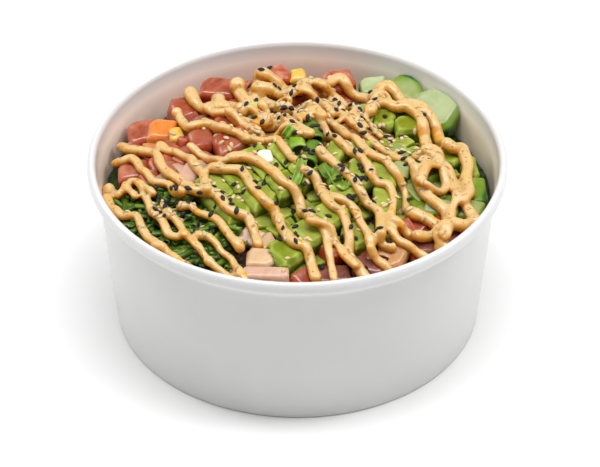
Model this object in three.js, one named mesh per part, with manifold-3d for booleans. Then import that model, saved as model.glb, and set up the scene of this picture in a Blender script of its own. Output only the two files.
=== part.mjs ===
// Poke bowl: a paper bowl heaped with cubes of fish, avocado and cucumber under a drizzle of thick sauce.
// Millimetres, +Z up. The origin is the middle of the ring that the bowl stands on, and -Y is the front.

import * as THREE from "three";
import { mergeVertices } from "three/addons/utils/BufferGeometryUtils.js";
import Module from "manifold-3d";

const wasm = await Module();
wasm.setup();

// The bowl: a cone of coated paper with a rolled rim and a raised bottom disc.
const BOWL_HEIGHT = 73;
const RIM_RADIUS = 82.5;
const BEAD_WIDTH = 3.7;
const BEAD_HEIGHT = 5.8;
const WALL_TOP_RADIUS = 78.7;
const BASE_RADIUS = 72;
const WALL = 0.8;
const FOOT_WIDTH = 2;
const FOOT_HEIGHT = 6;
const FOOT_ROUND = 0.8;
const BOWL_SIDES = 52;
const BEAD_STEPS = 6;

// The heap: its toppings reach up to a shallow dome, and the bed lies lower between them.
const HEAP_TOP = 74;
const HEAP_DROP = 14;
const HEAP_RADIUS = 77;
const BED_RADIUS = 75.6;
const BED_DEPTH = 7;
const BED_BUMP = 0.7;
const BED_RINGS = 7;
const BED_SIDES = 30;
const GREENS = [
  { x: -56, y: -26, reach: 20, rise: 4.5 },
  { x: -38, y: -47, reach: 17, rise: 4.5 },
];
const CRUMBS = { x: 4, y: 28, reach: 36, rise: 4.5 };
const HOLLOW = { x: -6, y: -38, reach: 16, rise: -3 };
const SHOWN_SHARE = 0.83;
const GAP = 0.35;

// Sauce strands, chopped greens and seeds, all fused to the bed.
const STRAND_RADIUS = 1.7;
const STRAND_SIDES = 5;
const STRAND_STEP = 10;
const STRAND_SLOPE = 0.8;
const FINE_STEPS = 3;
const DRIP_RADIUS = 0.9;
const ROD_COUNT = 12;
const SEED_COUNT = 8;
const SEED_SIZE = [1.6, 1.0, 0.7];

const COLOURS = {
  paper: 0xf4f4f1,
  sauce: 0xedbc78,
  tuna: 0xb04a36,
  salmon: 0xe5813a,
  pale_fish: 0xe6b39c,
  avocado: 0x9dbb45,
  cucumber: 0xc3d9a2,
  corn: 0xecc04a,
  onion: 0xd9de94,
  tofu: 0xe9e6d6,
  scallion: 0x4d9c33,
};

// Each topping: the plan place of its top face, the width and depth that show, its height, then its turn
// about Z, its lean towards the front, its roll to the right, and how far its top stands above the heap's dome.
// A wedge is a cut from a round fruit with its skin on the far side, and a rod is a stalk that lies down.
const TOPPINGS = [
  ["tuna", "block", -62, 30, 10, 11, 13, 12, 4, -4, 2],
  ["salmon", "block", -53.5, 27, 9.5, 10, 12, -6, 8, 3, 2],
  ["corn", "block", -47.6, 23, 5, 6, 8, 20, 10, 10, 1],
  ["tuna", "block", -44.5, 44, 11, 11, 12, 28, 6, 5, 2],
  ["tuna", "block", -31, 57, 14, 10, 12, -8, 5, 0, 3],
  ["tuna", "block", -8.5, 62.5, 10, 9, 12, 24, 0, 4, 5.5],
  ["corn", "block", -0.5, 62, 6.4, 6, 12, 6, 12, 0, 4.5],
  ["tuna", "block", 16.5, 60, 11, 10, 12, 14, 4, 0, 4],
  ["tuna", "block", -26, 12, 12, 10, 10, 26, 10, -6, 1],
  ["tuna", "block", -37.5, 18, 9, 10, 11, 14, 8, 4, 0],
  ["tuna", "block", -28, 28, 8, 8, 9, 34, 6, 0, 0],
  ["tuna", "block", -65, 6, 10, 9, 10, 5, 5, -8, -1],
  ["tuna", "block", -53, 6, 9, 8, 10, 22, 10, 0, -1],
  ["tuna", "block", 0.5, 43, 9, 8, 8, 12, 6, 0, 0],
  ["tuna", "block", 49, -43, 10, 8, 9, 14, 10, 6, -1],
  ["tuna", "block", 28, -56, 11, 8, 9, -10, 8, 4, -1],
  ["tuna", "block", 60, -35, 9, 8, 9, 30, 8, 8, -2],
  ["tuna", "block", 13, -61, 12, 8, 9, 6, 8, 0, -2],
  ["pale_fish", "block", -42, -6, 6.5, 12, 7, -22, 8, 6, 0],
  ["pale_fish", "block", -12, -64, 14.5, 5.5, 9, -3, 0, 0, 2],
  ["pale_fish", "block", -14, -55, 9, 8, 8, -6, 10, 0, 0],
  ["salmon", "block", 36, -51, 9.5, 11, 7, -22, 12, 6, 0],
  ["onion", "block", -17, 35, 6.5, 7, 6, 10, 14, 0, 1],
  ["tofu", "block", -12.5, -3, 5.5, 6, 9, 14, 16, 8, 2],
  ["scallion", "rod", 6, 15, 5.5, 16, 5, 12, 6, 0, 1.5],
  ["scallion", "rod", -0.5, 7, 5.5, 13, 5, 16, 6, 0, 1.5],
  ["scallion", "rod", 5, -1.5, 6, 12, 5, -16, 8, 0, 1.5],
  ["scallion", "rod", 14, -13, 7, 11, 5, 26, 10, 0, 0.4],
  ["avocado", "block", -4, -52.5, 11.5, 12, 13, 41, 8, 0, 0.5],
  ["avocado", "block", 4.5, -43.5, 10.5, 11.5, 13, 44, 8, 4, 0.5],
  ["avocado", "block", -24, -29.5, 11.4, 11.5, 13, 34, 6, 4, 0.5],
  ["avocado", "block", -14.5, -23.5, 11.4, 11.5, 13, 34, 6, 4, 0.8],
  ["avocado", "block", -5, -17, 11.4, 11.5, 13, 36, 8, 6, 0.8],
  ["avocado", "block", 3.5, -10, 9.5, 11, 12, 40, 8, 10, 0.8],
  ["avocado", "block", -32, -18, 11, 15, 10, 34, 6, -4, 0.5],
  ["avocado", "block", -23, -11, 11, 18, 11, 34, 4, 0, 1],
  ["avocado", "block", -13.5, -4.5, 11, 18, 11, 34, 4, 2, 0.8],
  ["avocado", "block", -4.5, 1.5, 10, 14, 10, 34, 6, 2, 0.5],
  ["avocado", "block", 13.5, -33, 11.5, 11, 13, 44, 8, 0, 0.5],
  ["avocado", "block", 18, -21.5, 10.5, 10, 10, 35, 12, 0, 0.3],
  ["avocado", "block", 23.5, -43, 9.5, 10.5, 12, 38, 8, 0, 0],
  ["avocado", "block", 33.5, -30, 5.5, 24, 12, 4, 6, 6, 0.5],
  ["avocado", "block", 33.5, -8, 7.5, 14, 10, 6, 12, 6, 0.5],
  ["avocado", "block", 24.5, -9, 8, 14, 10, -4, 12, 0, 0.5],
  ["avocado", "block", 14.5, 3, 6.5, 12, 9, -24, 10, 0, 0],
  ["avocado", "block", 24, 7.5, 7.5, 8, 8, -14, 10, 0, 0],
  ["avocado", "block", 44, 31, 9.5, 9, 12, 4, 4, 0, 0],
  ["avocado", "block", 34.5, 35, 7.5, 11, 9, -4, 8, 0, 0],
  ["avocado", "block", 60, 12, 8, 8, 11, -6, 6, 6, 0],
  ["avocado", "block", 68, 8, 5.5, 10, 10, 10, 6, 10, 0],
  ["cucumber", "block", 54.5, 42, 16, 17, 15, -28, 16, 8, 4],
  ["cucumber", "wedge", 43.5, 57, 15, 11, 13, -24, 24, 6, 5],
  ["cucumber", "block", 30.5, 58, 9, 8, 10, 8, 16, 0, 3],
  ["cucumber", "block", 27.5, 35, 6, 9, 8, -6, 12, 6, 0],
  ["cucumber", "block", 71, -6, 5.5, 12, 10, 6, 8, 8, 0],
  ["cucumber", "block", 67.5, -19.5, 7.5, 9, 9, -16, 12, 10, 0],
  ["cucumber", "block", 56, -21, 11, 7, 8, -10, 12, 6, -1],
  ["cucumber", "block", 40, -4, 6.5, 9, 8, -12, 12, 6, -1],
];

// Each strand: its thickness as a share of the usual one, and the plan points that it runs through.
const STRANDS = [
  [1.3, [-43, 54], [-42, 49], [-40, 43], [-37, 39], [-33, 38]],
  [1.3, [-32, 46], [-31, 41], [-30, 37], [-27, 38], [-24, 36], [-22, 32]],
  [1.2, [-36, 38], [-32, 33], [-27, 32]],
  [1.3, [-24, 56], [-23, 50], [-21, 45], [-19, 41], [-17, 46], [-15, 48], [-13, 45], [-10, 40], [-5, 33]],
  [
    1.1, [-6, 33], [-1, 32], [4, 30], [8, 25], [10, 19],
    [13, 13], [16, 8], [20, 3], [24, -1], [27, -6], [29, -12],
  ],
  [1.4, [-15, 70], [-16, 64], [-15, 59], [-17, 54], [-15, 49]],
  [1.3, [-14, 68], [-11, 64], [-8, 59], [-5, 54], [1, 48]],
  [1.3, [-16, 56], [-12, 54], [-8, 50], [-5, 46], [2, 49]],
  [1.3, [0, 47], [4, 53], [8, 54], [11, 50], [13, 45], [14, 39], [17, 35]],
  [1.1, [3, 50], [5, 46], [7, 41], [11, 32]],
  [
    1.3, [-48, 38], [-46, 31], [-44, 26], [-42, 23], [-38, 25],
    [-34, 24], [-31, 20], [-27, 17], [-23, 14], [-20, 10],
  ],
  [1.1, [-20, 10], [-16, 9], [-11, 9], [-8, 8], [-6, 4], [-4, 0], [-2, -4], [2, -9]],
  [
    1.2, [-70, 21], [-67, 17], [-62, 14], [-58, 12], [-55, 7],
    [-54, 2], [-52, -3], [-49, -8], [-45, -13], [-41, -18],
  ],
  [
    1.3, [-41, -18], [-37, -20], [-32, -22], [-29, -27],
    [-27, -31], [-23, -35], [-19, -37], [-17, -43], [-15, -50],
  ],
  [
    1.1, [-72, 12], [-69, 9], [-66, 10], [-63, 6], [-61, 0],
    [-58, -5], [-55, -11], [-50, -13], [-48, -18], [-45, -23],
  ],
  [1.1, [-45, -23], [-41, -27], [-39, -31], [-35, -34], [-31, -37], [-28, -42], [-25, -47], [-22, -52]],
  [1.1, [-54, 14], [-51, 10], [-48, 9], [-45, 5], [-42, 1], [-40, -4], [-37, -9], [-36, -14], [-35, -19]],
  [0.9, [-42, 10], [-39, 7], [-36, 3], [-33, -1], [-29, -4]],
  [
    1.3, [-26, -2], [-22, -2], [-17, -4], [-12, -9], [-9, -13],
    [-6, -18], [-2, -22], [1, -27], [2, -33], [5, -38],
  ],
  [1.1, [5, -38], [9, -42], [11, -48], [12, -55], [13, -61], [14, -67]],
  [
    1.3, [-33, -7], [-28, -9], [-23, -10], [-20, -14],
    [-18, -20], [-15, -25], [-12, -30], [-9, -32], [-7, -37],
  ],
  [1.3, [-7, -37], [-6, -42], [-4, -47], [-1, -51], [3, -53], [5, -58], [6, -63], [7, -67]],
  [
    1.1, [-76, 1], [-75, -9], [-73, -17], [-69, -24],
    [-65, -26], [-62, -28], [-60, -34], [-58, -39], [-54, -44],
  ],
  [1.1, [-54, -44], [-50, -48], [-46, -53], [-41, -59], [-36, -63]],
  [
    1.1, [-74, -1], [-72, -7], [-70, -12], [-67, -8],
    [-65, -5], [-62, -8], [-60, -14], [-58, -21], [-56, -27],
  ],
  [
    1, [-56, -27], [-53, -31], [-51, -36], [-49, -41],
    [-46, -43], [-43, -42], [-40, -46], [-37, -51], [-34, -56],
  ],
  [1, [-34, -56], [-31, -60], [-27, -64], [-22, -66]],
  [0.9, [-62, -8], [-59, -12], [-56, -17]],
  [0.9, [-67, -8], [-65, -12], [-63, -16]],
  [0.9, [-52, -24], [-50, -30], [-46, -35], [-43, -42]],
  [1, [-38, -43], [-34, -45], [-31, -49], [-29, -53], [-25, -57], [-23, -61], [-20, -66]],
  [1.3, [8, 54], [12, 56], [15, 60], [17, 61], [19, 58], [21, 53], [24, 51], [28, 49], [31, 45]],
  [1.2, [10, 52], [13, 48], [16, 44], [20, 40], [23, 36], [24, 30], [25, 24]],
  [
    1, [13, 33], [16, 31], [19, 28], [22, 23], [25, 20],
    [28, 16], [31, 12], [35, 8], [39, 4], [43, 1], [46, -4],
  ],
  [1.2, [46, -4], [47, -11], [49, -16], [52, -21], [55, -24], [58, -28], [57, -35]],
  [
    1.1, [12, 26], [16, 21], [20, 15], [23, 10], [26, 5],
    [29, 0], [34, -2], [37, -7], [40, -12], [42, -17], [42, -27],
  ],
  [
    1.1, [29, -12], [31, -16], [35, -17], [37, -22], [37, -28],
    [36, -34], [36, -40], [38, -45], [42, -48], [49, -52],
  ],
  [
    1.2, [9, 1], [12, -4], [15, -8], [19, -13], [22, -17],
    [24, -22], [27, -27], [30, -31], [32, -35], [32, -43],
  ],
  [1.2, [32, -43], [32, -48], [36, -50]],
  [
    1.2, [3, -12], [7, -16], [9, -22], [12, -26], [16, -28],
    [20, -30], [23, -34], [24, -39], [27, -45], [28, -51],
  ],
  [1, [28, -51], [31, -56], [35, -61]],
  [1.2, [9, -22], [11, -28], [14, -32], [17, -35], [19, -41], [20, -49], [20, -56], [23, -61], [26, -65]],
  [1, [5, -39], [12, -42], [14, -47], [16, -52], [18, -56], [22, -60]],
  [1, [37, -35], [41, -40], [44, -43]],
  [1.2, [47, 8], [51, 10], [51, 4], [50, -3], [48, -11]],
  [1.2, [51, 10], [55, 9], [57, 3], [60, -4], [62, -11], [64, -17], [66, -22], [68, -27]],
  [1.1, [56, 6], [57, -3], [58, -9], [55, -15], [49, -15]],
  [
    1.3, [31, 46], [33, 56], [36, 59], [39, 55], [41, 51],
    [45, 46], [49, 43], [53, 37], [55, 31], [57, 24], [59, 17],
  ],
  [1.3, [59, 17], [62, 15], [65, 17], [66, 11], [67, 4], [66, -4], [67, -12], [64, -18]],
  [1.2, [31, 44], [34, 50], [38, 45], [43, 43]],
  [1.4, [29, 34], [31, 40], [35, 42], [39, 40], [43, 41], [47, 38], [49, 33], [50, 26], [51, 19]],
  [1.4, [44, -30], [50, -33], [55, -35], [60, -33], [65, -31], [69, -28]],
  [1.2, [46, -42], [51, -41], [55, -36]],
  [1.3, [55, -46], [56, -40], [57, -34]],
  [1, [62, -14], [61, -20], [59, -28]],
  [1, [-13, 20], [-8, 20], [-3, 18], [0, 13]],
  [1, [-27, 30], [-24, 25], [-20, 22], [-18, 16]],
];

// A repeatable stream of numbers from 0 to 1.
function numbersFrom(seed) {
  let state = seed;
  return () => {
    state = (state * 1664525 + 1013904223) % 4294967296;
    return state / 4294967296;
  };
}

// A number from -size to size.
function spread(random, size) {
  return (2 * random() - 1) * size;
}

// The closed solid of a three.js geometry, without the faces that have no area.
function solidOf(geometry) {
  const bare = geometry.clone();
  bare.deleteAttribute("normal");
  bare.deleteAttribute("uv");
  const merged = mergeVertices(bare, 1e-4);
  const corners = merged.index.array;
  const kept = [];
  for (let i = 0; i < corners.length; i += 3) {
    const [a, b, c] = corners.slice(i, i + 3);
    if (a !== b && b !== c && c !== a) kept.push(a, b, c);
  }
  const vertProperties = new Float32Array(merged.attributes.position.array);
  return new wasm.Manifold(new wasm.Mesh({ numProp: 3, vertProperties, triVerts: new Uint32Array(kept) }));
}

// The three.js geometry of a solid.
function geometryOf(solid) {
  const mesh = solid.getMesh();
  const geometry = new THREE.BufferGeometry();
  geometry.setAttribute("position", new THREE.BufferAttribute(mesh.vertProperties, 3));
  geometry.setIndex(new THREE.BufferAttribute(mesh.triVerts, 1));
  geometry.computeVertexNormals();
  return geometry;
}

function material(kind, roughness) {
  return new THREE.MeshStandardMaterial({ color: COLOURS[kind], roughness, metalness: 0 });
}

// The largest body of a solid: a cut can leave loose scraps.
function mainBody(solid) {
  const bodies = solid.decompose();
  return bodies.reduce((best, body) => (body.volume() > best.volume() ? body : best));
}

// Whether two solids' boxes come within reach of each other.
function near(a, b) {
  const boxA = a.boundingBox();
  const boxB = b.boundingBox();
  return [0, 1, 2].every((i) => boxA.min[i] < boxB.max[i] && boxB.min[i] < boxA.max[i]);
}

// Whether two solids share any volume.
function meets(a, b) {
  return near(a, b) && !a.intersect(b).isEmpty();
}

// ---- The bowl ----

const WALL_SLOPE = (WALL_TOP_RADIUS - BASE_RADIUS) / (BOWL_HEIGHT - BEAD_HEIGHT);

function outerWallRadius(z) {
  return BASE_RADIUS + WALL_SLOPE * z;
}

function innerWallRadius(z) {
  return outerWallRadius(z) - WALL;
}

const FLOOR = FOOT_HEIGHT + WALL;

function bowlGeometry() {
  const beadX = RIM_RADIUS - BEAD_WIDTH / 2;
  const beadZ = BOWL_HEIGHT - BEAD_HEIGHT / 2;
  const footInside = BASE_RADIUS - FOOT_WIDTH;
  const profile = [
    [0, FOOT_HEIGHT],
    [footInside, FOOT_HEIGHT],
    [footInside, 0],
    [BASE_RADIUS - FOOT_ROUND, 0],
    [outerWallRadius(FOOT_ROUND), FOOT_ROUND],
    [outerWallRadius(BOWL_HEIGHT - BEAD_HEIGHT), BOWL_HEIGHT - BEAD_HEIGHT + 0.3],
  ];
  for (let i = 0; i <= BEAD_STEPS; i += 1) {
    const turn = THREE.MathUtils.degToRad(-70 + (250 * i) / BEAD_STEPS);
    profile.push([
      beadX + (BEAD_WIDTH / 2) * Math.cos(turn),
      beadZ + (BEAD_HEIGHT / 2) * Math.sin(turn),
    ]);
  }
  profile.push([innerWallRadius(64), 64], [innerWallRadius(FLOOR + 2), FLOOR + 2]);
  profile.push([innerWallRadius(FLOOR) - 2, FLOOR], [0, FLOOR]);
  return new THREE.LatheGeometry(profile.map(([r, z]) => new THREE.Vector2(r, z)), BOWL_SIDES);
}

// Turns a lathe's Y axis up.
function upright(geometry) {
  return geometry.rotateX(Math.PI / 2);
}

// The space inside the bowl, less a gap all round, up to well above the heap.
function insideSolid() {
  const top = BOWL_HEIGHT + 30;
  const profile = [
    [0, FLOOR + GAP],
    [innerWallRadius(FLOOR) - 2 - GAP, FLOOR + GAP],
    [innerWallRadius(FLOOR + 2) - GAP, FLOOR + 2],
    [innerWallRadius(64) - GAP, 64],
    [innerWallRadius(64) - GAP, top],
    [0, top],
  ];
  const lathe = new THREE.LatheGeometry(profile.map(([r, z]) => new THREE.Vector2(r, z)), BOWL_SIDES);
  return solidOf(upright(lathe));
}

// ---- The bed ----

function heapTop(x, y) {
  return HEAP_TOP - HEAP_DROP * ((x * x + y * y) / (HEAP_RADIUS * HEAP_RADIUS));
}

// How far a round mound lifts the bed at a point, or a round hollow lowers it.
function moundRise({ x, y, reach, rise }, px, py) {
  const away = Math.hypot(px - x, py - y) / reach;
  return away < 1 ? rise * Math.sqrt(1 - away * away) : 0;
}

// The bed rises in mounds of chopped greens and one of crumbs and seeds, and dips before the avocado.
function bedTop(x, y) {
  const greens = Math.max(...GREENS.map((mound) => moundRise(mound, x, y)));
  const rise = greens + moundRise(CRUMBS, x, y) + moundRise(HOLLOW, x, y);
  const bumps = BED_BUMP * (Math.sin(x * 0.31 + 1) * Math.cos(y * 0.27) + Math.sin((x + y) * 0.17));
  return heapTop(x, y) - BED_DEPTH + rise + bumps;
}

// The bed, grown outwards and upwards by a gap.
function bedSolid(grown) {
  const edge = BED_RADIUS + grown;
  const profile = [
    [0, FLOOR + GAP],
    [innerWallRadius(FLOOR) - 2.5 - GAP, FLOOR + GAP],
  ];
  for (let ring = BED_RINGS; ring >= 0; ring -= 1) {
    profile.push([(edge * ring) / BED_RINGS, HEAP_TOP - HEAP_DROP]);
  }
  const lathe = new THREE.LatheGeometry(profile.map(([r, z]) => new THREE.Vector2(r, z)), BED_SIDES);
  const geometry = upright(lathe);
  const position = geometry.attributes.position;
  for (let i = 0; i < position.count; i += 1) {
    if (position.getZ(i) > HEAP_TOP / 2) {
      position.setZ(i, bedTop(position.getX(i), position.getY(i)) + 1.3 * grown);
    }
  }
  return solidOf(geometry);
}

// ---- The toppings ----

// A rectangle with two cut corners, each corner a little out of place.
function blockOutline(width, depth, uneven) {
  const cut = 0.25 * Math.min(width, depth);
  const x = width / 2;
  const y = depth / 2;
  const corners = [[x - cut, -y], [x, cut - y], [x, y], [cut - x, y], [-x, y - cut], [-x, -y]];
  return corners.map(([u, v], i) => new THREE.Vector2(u * uneven[i], v * uneven[(i + 2) % 6]));
}

// A cut from a round fruit: an arc at the far side and a straight cut at the near one.
function wedgeOutline(width, depth) {
  const steps = 6;
  const points = [];
  for (let i = 0; i <= steps; i += 1) {
    const turn = (Math.PI * i) / steps;
    points.push(new THREE.Vector2((width / 2) * Math.cos(turn), depth * Math.sin(turn) - depth / 2));
  }
  return points;
}

// A topping about the middle of its top face, grown all round by a gap.
function toppingSolid({ form, width, depth, height, uneven }, grown) {
  if (form === "rod") {
    const stalk = new THREE.CylinderGeometry(width / 2 + grown, width / 2 + grown, depth + 2 * grown, 8);
    return solidOf(stalk.scale(1, 1, 0.8).translate(0, 0, -height / 2));
  }
  const wide = width + 2 * grown;
  const deep = depth + 2 * grown;
  const outline = form === "wedge" ? wedgeOutline(wide, deep) : blockOutline(wide, deep, uneven);
  const bevel = 0.13 * Math.min(width, depth);
  const settings = {
    depth: height + 2 * grown - 2 * bevel,
    bevelThickness: bevel,
    bevelSize: bevel,
    bevelOffset: -bevel,
    bevelSegments: 1,
  };
  const block = new THREE.ExtrudeGeometry(new THREE.Shape(outline), settings);
  return solidOf(block.translate(0, 0, bevel - height - grown));
}

// Where a topping stands: its top face's middle on the dome, with its turn, lean and roll.
function placeOf({ x, y, turn, lean, roll, lift }) {
  const angles = [lean, roll, turn].map(THREE.MathUtils.degToRad);
  const rotation = new THREE.Quaternion().setFromEuler(new THREE.Euler(...angles, "ZYX"));
  const position = new THREE.Vector3(x, y, heapTop(x, y) + lift);
  return new THREE.Matrix4().compose(position, rotation, new THREE.Vector3(1, 1, 1));
}

function readTopping([kind, form, x, y, width, depth, height, turn, lean, roll, lift], random) {
  const uneven = Array.from({ length: 6 }, () => 1 + spread(random, 0.06));
  const whole = { width: width / SHOWN_SHARE, depth: depth / SHOWN_SHARE, height };
  return { kind, form, x, y, ...whole, turn, lean, roll, lift, uneven };
}

// Cuts each topping back from the bowl, the bed and the toppings listed before it.
function makeToppings(inside) {
  const random = numbersFrom(7);
  const bed = bedSolid(GAP);
  const made = [];
  const count = {};
  for (const row of TOPPINGS) {
    const topping = readTopping(row, random);
    const place = placeOf(topping);
    let solid = toppingSolid(topping, 0).transform(place.elements);
    solid = solid.intersect(inside).subtract(bed);
    for (const other of made) {
      if (near(solid, other.grown)) solid = solid.subtract(other.grown);
    }
    count[topping.kind] = (count[topping.kind] || 0) + 1;
    made.push({
      name: `${topping.kind}_${count[topping.kind]}`,
      kind: topping.kind,
      place,
      solid: mainBody(solid),
      grown: toppingSolid(topping, GAP).transform(place.elements),
    });
  }
  return made;
}

// ---- Heights, so that the sauce lies on what is under it ----

const MAP_REACH = 80;

// The highest point of the toppings over each square millimetre.
function heightMap(toppings) {
  const size = 2 * MAP_REACH + 1;
  const map = new Float32Array(size * size);
  for (const { solid } of toppings) {
    const { vertProperties, triVerts } = solid.getMesh();
    for (let i = 0; i < triVerts.length; i += 3) {
      const corners = [0, 1, 2].map((k) => {
        return new THREE.Vector3().fromArray(vertProperties, 3 * triVerts[i + k]);
      });
      raiseUnder(new THREE.Triangle(...corners), map, size);
    }
  }
  return map;
}

// Raises the map to one triangle.
function raiseUnder(triangle, map, size) {
  const box = new THREE.Box3().setFromPoints([triangle.a, triangle.b, triangle.c]);
  const normal = triangle.getNormal(new THREE.Vector3());
  if (normal.z < 0.01) return;
  for (let x = Math.ceil(box.min.x); x <= box.max.x; x += 1) {
    for (let y = Math.ceil(box.min.y); y <= box.max.y; y += 1) {
      const rise = normal.x * (x - triangle.a.x) + normal.y * (y - triangle.a.y);
      const point = new THREE.Vector3(x, y, triangle.a.z - rise / normal.z);
      const cell = (x + MAP_REACH) * size + y + MAP_REACH;
      if (triangle.containsPoint(point)) map[cell] = Math.max(map[cell], point.z);
    }
  }
}

// The height at which a ball of a given radius rests on the toppings, or 0 over the bare bed.
function restingHeight(map, x, y, radius) {
  const size = 2 * MAP_REACH + 1;
  let highest = 0;
  for (let i = Math.ceil(x - radius); i <= x + radius; i += 1) {
    for (let j = Math.ceil(y - radius); j <= y + radius; j += 1) {
      const clear = radius * radius - (i - x) ** 2 - (j - y) ** 2;
      const inMap = Math.abs(i) <= MAP_REACH && Math.abs(j) <= MAP_REACH;
      const top = inMap && clear >= 0 ? map[(i + MAP_REACH) * size + j + MAP_REACH] : 0;
      if (top > 0) highest = Math.max(highest, top + Math.sqrt(clear));
    }
  }
  return highest;
}

// ---- The sauce ----

// A strand's middle line: it lies on what is under it and dips no more steeply than its slope allows.
// It is followed in short steps, and each point that is kept stands as high as the steps beside it.
function strandLine([share, ...points], map) {
  const radius = share * STRAND_RADIUS;
  const plan = new THREE.CatmullRomCurve3(points.map(([x, y]) => new THREE.Vector3(x, y, 0)));
  const kept = Math.max(2, Math.round(plan.getLength() / STRAND_STEP));
  const fine = plan.getSpacedPoints(FINE_STEPS * kept);
  for (const point of fine) {
    const bed = bedTop(point.x, point.y) + radius;
    point.z = Math.max(restingHeight(map, point.x, point.y, radius + GAP), bed);
  }
  const dip = (STRAND_SLOPE * STRAND_STEP) / FINE_STEPS;
  for (let i = 1; i < fine.length; i += 1) fine[i].z = Math.max(fine[i].z, fine[i - 1].z - dip);
  for (let i = fine.length - 2; i >= 0; i -= 1) fine[i].z = Math.max(fine[i].z, fine[i + 1].z - dip);
  const line = [];
  for (let i = 0; i < fine.length; i += FINE_STEPS) {
    const beside = fine.slice(Math.max(0, i - 1), i + 2).map(({ z }) => z);
    line.push(new THREE.Vector3(fine[i].x, fine[i].y, Math.max(...beside)));
  }
  return { radius, line };
}

function strandSolid({ radius, line }) {
  const section = [];
  for (let i = 0; i < STRAND_SIDES; i += 1) {
    const turn = (2 * Math.PI * i) / STRAND_SIDES;
    section.push(new THREE.Vector2(radius * Math.cos(turn), radius * Math.sin(turn)));
  }
  const extrudePath = new THREE.CatmullRomCurve3(line);
  const settings = { steps: line.length - 1, extrudePath };
  return solidOf(new THREE.ExtrudeGeometry(new THREE.Shape(section), settings));
}

// The drips that can run from a strand down to the bed, wherever it crosses an open gap.
function drips({ line }, map) {
  const between = [0.25, 0.5, 0.75, 1];
  const points = line.slice(1).flatMap((end, i) => between.map((t) => line[i].clone().lerp(end, t)));
  const open = points.filter(({ x, y }) => restingHeight(map, x, y, DRIP_RADIUS + GAP) === 0);
  return open.map(({ x, y, z }) => {
    const foot = bedTop(x, y) - 1.5;
    const drip = new THREE.CylinderGeometry(DRIP_RADIUS, DRIP_RADIUS, z - foot, STRAND_SIDES);
    return solidOf(upright(drip).translate(x, y, (z + foot) / 2));
  });
}

// ---- Chopped greens and seeds ----

function greenRods() {
  const random = numbersFrom(21);
  const rods = [];
  while (rods.length < ROD_COUNT) {
    const mound = GREENS[rods.length % GREENS.length];
    const x = mound.x + spread(random, 0.8 * mound.reach);
    const y = mound.y + spread(random, 0.8 * mound.reach);
    if (Math.hypot(x, y) > 70) continue;
    const rod = new THREE.CylinderGeometry(1.7, 1.7, 9 + 5 * random(), 5);
    rod.rotateZ(spread(random, 1.2)).rotateX(spread(random, 0.25));
    rods.push(solidOf(rod.translate(x, y, bedTop(x, y) + 0.4)));
  }
  return rods;
}

// Seeds that lie on the strands, most of them near the middle of the heap.
function seeds(strands) {
  const random = numbersFrom(33);
  const made = [];
  while (made.length < SEED_COUNT) {
    const { radius, line } = strands[Math.floor(random() * strands.length)];
    const { x, y, z } = line[1 + Math.floor(random() * (line.length - 2))];
    const seed = new THREE.IcosahedronGeometry(1, 0).scale(...SEED_SIZE);
    seed.rotateZ(spread(random, Math.PI)).translate(x, y, z + 0.9 * radius);
    made.push(solidOf(seed));
  }
  return made;
}

// What is left of a solid outside the toppings.
function clearOf(toppings, solid) {
  const others = toppings.map(({ grown }) => grown).filter((grown) => near(solid, grown));
  return others.reduce((left, grown) => left.subtract(grown), solid);
}

// The bed with its greens, the sauce that lies over the toppings, and the seeds on it, as one body.
// Sauce that doesn't reach the bed by itself gets a drip.
function makeBed(toppings, inside) {
  const map = heightMap(toppings);
  const strands = STRANDS.map((row) => strandLine(row, map));
  const pieces = [...strands.map(strandSolid), ...greenRods(), ...seeds(strands)];
  const sauce = clearOf(toppings, wasm.Manifold.union(pieces));
  const bed = bedSolid(0);
  const loose = sauce.decompose().filter((body) => !meets(body, bed));
  const possible = strands.flatMap((strand) => drips(strand, map));
  const needed = loose.flatMap((body) => possible.find((drip) => meets(drip, body)) ?? []);
  const joints = needed.map((drip) => clearOf(toppings, drip));
  return mainBody(wasm.Manifold.union([sauce, bed, ...joints]).intersect(inside));
}

// ---- The whole ----

function meshOf(name, geometry, look) {
  const mesh = new THREE.Mesh(geometry, look);
  mesh.name = name;
  return mesh;
}

const pokeBowl = new THREE.Group();
pokeBowl.add(meshOf("bowl", upright(bowlGeometry()), material("paper", 0.35)));

const inside = insideSolid();
const toppings = makeToppings(inside);
pokeBowl.add(meshOf("bed_and_sauce", geometryOf(makeBed(toppings, inside)), material("sauce", 0.35)));

const fillings = new THREE.Group();
for (const { name, kind, place, solid } of toppings) {
  const geometry = geometryOf(solid).applyMatrix4(place.clone().invert());
  const mesh = meshOf(name, geometry, material(kind, 0.4));
  mesh.applyMatrix4(place);
  fillings.add(mesh);
}
pokeBowl.add(fillings);

export default pokeBowl;
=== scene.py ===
"""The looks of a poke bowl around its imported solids. Sizes are in millimetres until a mesh is made."""

import math
import random

import bpy
import numpy as np
from mathutils import Matrix, Vector, noise
from mathutils.bvhtree import BVHTree


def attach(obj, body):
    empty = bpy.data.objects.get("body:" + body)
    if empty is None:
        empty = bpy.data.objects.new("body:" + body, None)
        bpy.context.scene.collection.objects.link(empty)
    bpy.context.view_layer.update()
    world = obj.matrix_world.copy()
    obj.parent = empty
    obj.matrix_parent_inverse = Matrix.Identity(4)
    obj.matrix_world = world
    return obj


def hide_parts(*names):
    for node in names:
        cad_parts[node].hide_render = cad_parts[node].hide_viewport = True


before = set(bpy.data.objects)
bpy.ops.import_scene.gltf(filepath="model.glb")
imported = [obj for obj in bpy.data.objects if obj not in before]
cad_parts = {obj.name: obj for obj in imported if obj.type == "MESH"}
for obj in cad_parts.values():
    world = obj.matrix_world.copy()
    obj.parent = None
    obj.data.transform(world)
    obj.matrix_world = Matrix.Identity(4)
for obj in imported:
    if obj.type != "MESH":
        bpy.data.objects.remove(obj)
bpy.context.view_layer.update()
MM = 0.001

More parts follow.
